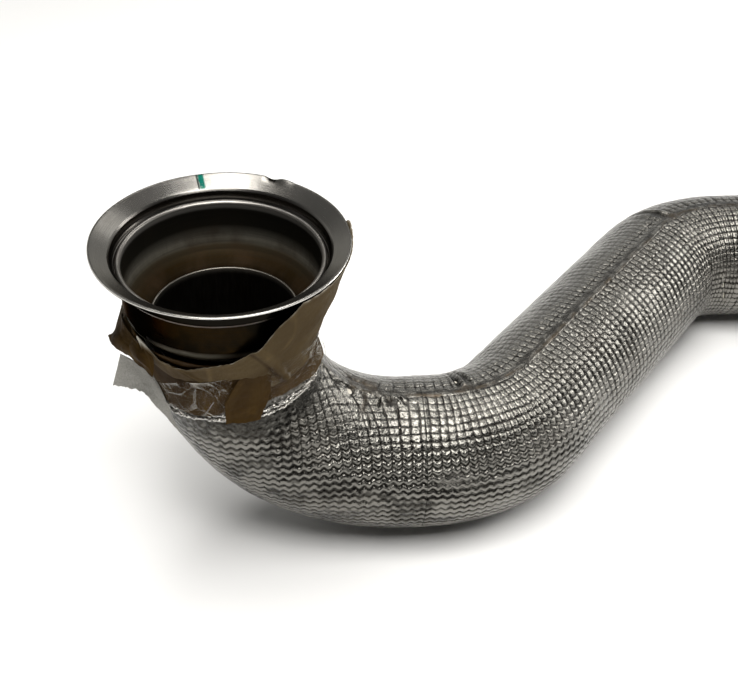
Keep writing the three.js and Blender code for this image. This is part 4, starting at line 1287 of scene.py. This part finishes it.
def tape_piece(name, node, d0, d1, top, foot, radius, seed, slant, nd=241, ns=121):
    D = np.broadcast_to(np.linspace(d0, d1, nd)[None, :], (ns, nd)) + 0
    v = np.linspace(0, 1, ns)[:, None]
    D = D + 1.2 * noise(v * 7.0, 0.3, seed=seed) * np.ones((1, nd))
    s0, s1 = table(top, D), table(foot, D)
    S = s0 + (s1 - s0) * v
    warp = noise(D / 19.0, S / 15.0, seed=seed + 1)
    p, q = slant[0] * D + slant[1] * S, slant[0] * S - slant[1] * D
    w1 = ridge(p / 3.6 + 1.3 * warp, q / 30.0, seed=seed + 2)
    w2 = ridge(p / 26.0, q / 6.5 + 1.1 * warp, seed=seed + 3)
    near_edge = smooth(0.30, 0.05, v) + smooth(0.75, 0.97, v)
    wr = np.clip(np.maximum(w1 * (0.62 + 0.38 * near_edge * smooth(d1 - 18.0, d1 - 40.0, D)), 0.72 * w2), 0, 1) ** 2.4
    wr = wr * smooth(d1 - 1.0, d1 - 26.0, D) * smooth(d0 - 1.0, d0 + 5.0, D)
    R = radius(S) + 1.1 * wr + 0.35 * facets(D / 9.0, S / 8.0, seed=seed + 4)
    g = on_pipe(S, D, R)
    ob = skin(name, g, 0.12, {"crease": wr})
    place(ob, TAPE, "clear_tape", node)
    return ob


TAPE_R = [(56, 69.2), (60, 67.8), (66, 65.4), (72, 63.6), (78, 62.6), (90, 61.9), (100, 62.2), (112, 63.0), (126, 63.8)]
tape_piece("tape_left_wrinkled", "tape_left", 86, 172, [(80, 65), (90, 65), (101, 69), (113, 72), (132, 80), (172, 80)], [(80, 97), (96, 98), (120, 99), (132, 95), (172, 97)], lambda S: table(TAPE_R, S) - 0.2, 141, (0.80, 0.60))
tape_piece("tape_right_wrinkled", "tape_right", -16, 64, [(-16, 76), (0, 72), (18, 68.5), (30, 62), (41, 59.5), (60, 59), (64, 60)], [(-16, 123), (0, 123), (19, 121), (31, 115.5), (43, 111.5), (52, 108.5), (62, 104.5), (66, 103)], lambda S: table(TAPE_R, S) + 0.3, 157, (0.62, -0.78))

FLAP_NET = [
    [(-70.0, -24.0, -74.3), (-61.3, -28.0, -77.5), (-52.0, -33.0, -80.6), (-44.5, -40.8, -90.0), (-38.6, -46.6, -104.7)],
    [(-74.6, -22.0, -90.9), (-64.7, -27.0, -90.6), (-54.4, -32.0, -92.0), (-46.0, -40.9, -99.8), (-35.5, -47.9, -116.9)],
    [(-79.2, -20.0, -106.0), (-69.0, -25.0, -103.9), (-57.5, -31.0, -102.7), (-48.2, -40.0, -107.9), (-30.4, -49.2, -129.4)],
]
g = net_surface(FLAP_NET, 41, 81)
u = np.linspace(0, 1, 81)[None, :]
v = np.linspace(0, 1, 41)[:, None]
g = g + normals(g) * (0.7 * facets(u * 4, v * 3, seed=161) + 0.8 * noise(u * 3, v * 2, seed=162) + 0.35 * (ridge(u * 6, v * 5, seed=163)))[..., None]
ragged = (v > 0.97) * 0.8 * noise(u * 30, 0.2, seed=164) + (v > 0.97) * 0.5 * noise(u * 70, 0.2, seed=165)
g = g + np.stack([0 * ragged, 0 * ragged, ragged], -1)
flap = skin("tape_flap_dusty", g, 0.25, {"crease": np.clip(ridge(u * 6, v * 5, seed=163), 0, 1) * 0.6 + 0 * u * v})
place(flap, FLAP, "dusty_tape", "tape_flap")

# ---- floor, world and lights ----------------------------------------------------------------------------------------
fm = Mat("studio_floor")
fcol = fm.mix(fm.noise(3.0), (0.88, 0.88, 0.875), (0.84, 0.84, 0.835))
floor_mat = fm.done(fm.shader(fcol, 0.75, 0.0, Specular_IOR_Level=0.1))
me = bpy.data.meshes.new("studio_floor")
me.from_pydata([(-6, -6, -0.0006), (6, -6, -0.0006), (6, 6, -0.0006), (-6, 6, -0.0006)], [], [(0, 1, 2, 3)])
floor = bpy.data.objects.new("studio_floor", me)
bpy.context.scene.collection.objects.link(floor)
paint(floor, floor_mat)

world = bpy.data.worlds.new("studio")
bpy.context.scene.world = world
world.use_nodes = True
wt = world.node_tree
bg = wt.nodes["Background"]
bg.inputs[1].default_value = 1.0
wc = wt.nodes.new("ShaderNodeTexCoord")
wx = wt.nodes.new("ShaderNodeSeparateXYZ")
wt.links.new(wc.outputs["Generated"], wx.inputs[0])
wm = wt.nodes.new("ShaderNodeMapRange")  # the room is lighter behind the object than in front of it
wt.links.new(wx.outputs[1], wm.inputs[0])
wm.inputs[1].default_value, wm.inputs[2].default_value = -0.5, 0.85
wr = wt.nodes.new("ShaderNodeValToRGB")
wr.color_ramp.elements[0].color = (0.10, 0.099, 0.097, 1)
wr.color_ramp.elements[1].color = (0.95, 0.945, 0.92, 1)
wt.links.new(wm.outputs[0], wr.inputs[0])
wz = wt.nodes.new("ShaderNodeMapRange")
wt.links.new(wx.outputs[2], wz.inputs[0])
wz.inputs[1].default_value, wz.inputs[2].default_value = 0.12, 0.55
wz.inputs[3].default_value, wz.inputs[4].default_value = 1.0, 0.28
wv = wt.nodes.new("ShaderNodeVectorMath")
wv.operation = "SCALE"
wt.links.new(wr.outputs[0], wv.inputs[0])
wt.links.new(wz.outputs[0], wv.inputs["Scale"])
wt.links.new(wv.outputs[0], bg.inputs[0])


def area(name, where, look, w, h, radiance, color=(1, 0.985, 0.96)):
    data = bpy.data.lights.new(name, "AREA")
    data.shape = "RECTANGLE"
    data.size, data.size_y = w, h
    data.energy = radiance * math.pi * w * h
    data.color = color
    ob = bpy.data.objects.new(name, data)
    bpy.context.scene.collection.objects.link(ob)
    ob.location = where
    ob.rotation_euler = (Vector(look) - Vector(where)).to_track_quat("-Z", "Y").to_euler()
    return ob


area("key_overhead", (0.0, -0.62, 1.9), (0.0, -0.10, 0.1), 1.2, 1.2, 9.2)
area("side_right", (1.65, 0.50, 0.80), (0.05, 0.05, 0.1), 0.80, 0.75, 9.0)
area("key_crown", (-0.50, 0.06, 2.10), (-0.15, 0.0, 0.15), 1.40, 0.48, 6.2)
area("sky_back", (1.25, 1.65, 2.05), (0.05, 0.0, 0.1), 1.1, 0.8, 1.8)
area("key_back", (-0.18, 0.95, 1.75), (0, 0.1, 0.1), 0.70, 0.5, 7.4)

bpy.context.scene.view_settings.view_transform = "Standard"

# ---- what CAD nodes still show get their own material -------------------------------------------------------------
shown = [n for n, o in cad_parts.items() if not o.hide_render]
for n in shown:
    paint(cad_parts[n], WELD if n.startswith("weld") else FOIL)
print("CAD nodes still shown:", shown)
tris = {o.name: sum(len(p.vertices) - 2 for p in o.data.polygons) for o in pieces}
print("faces:", sum(tris.values()), max(tris.items(), key=lambda q: q[1]))
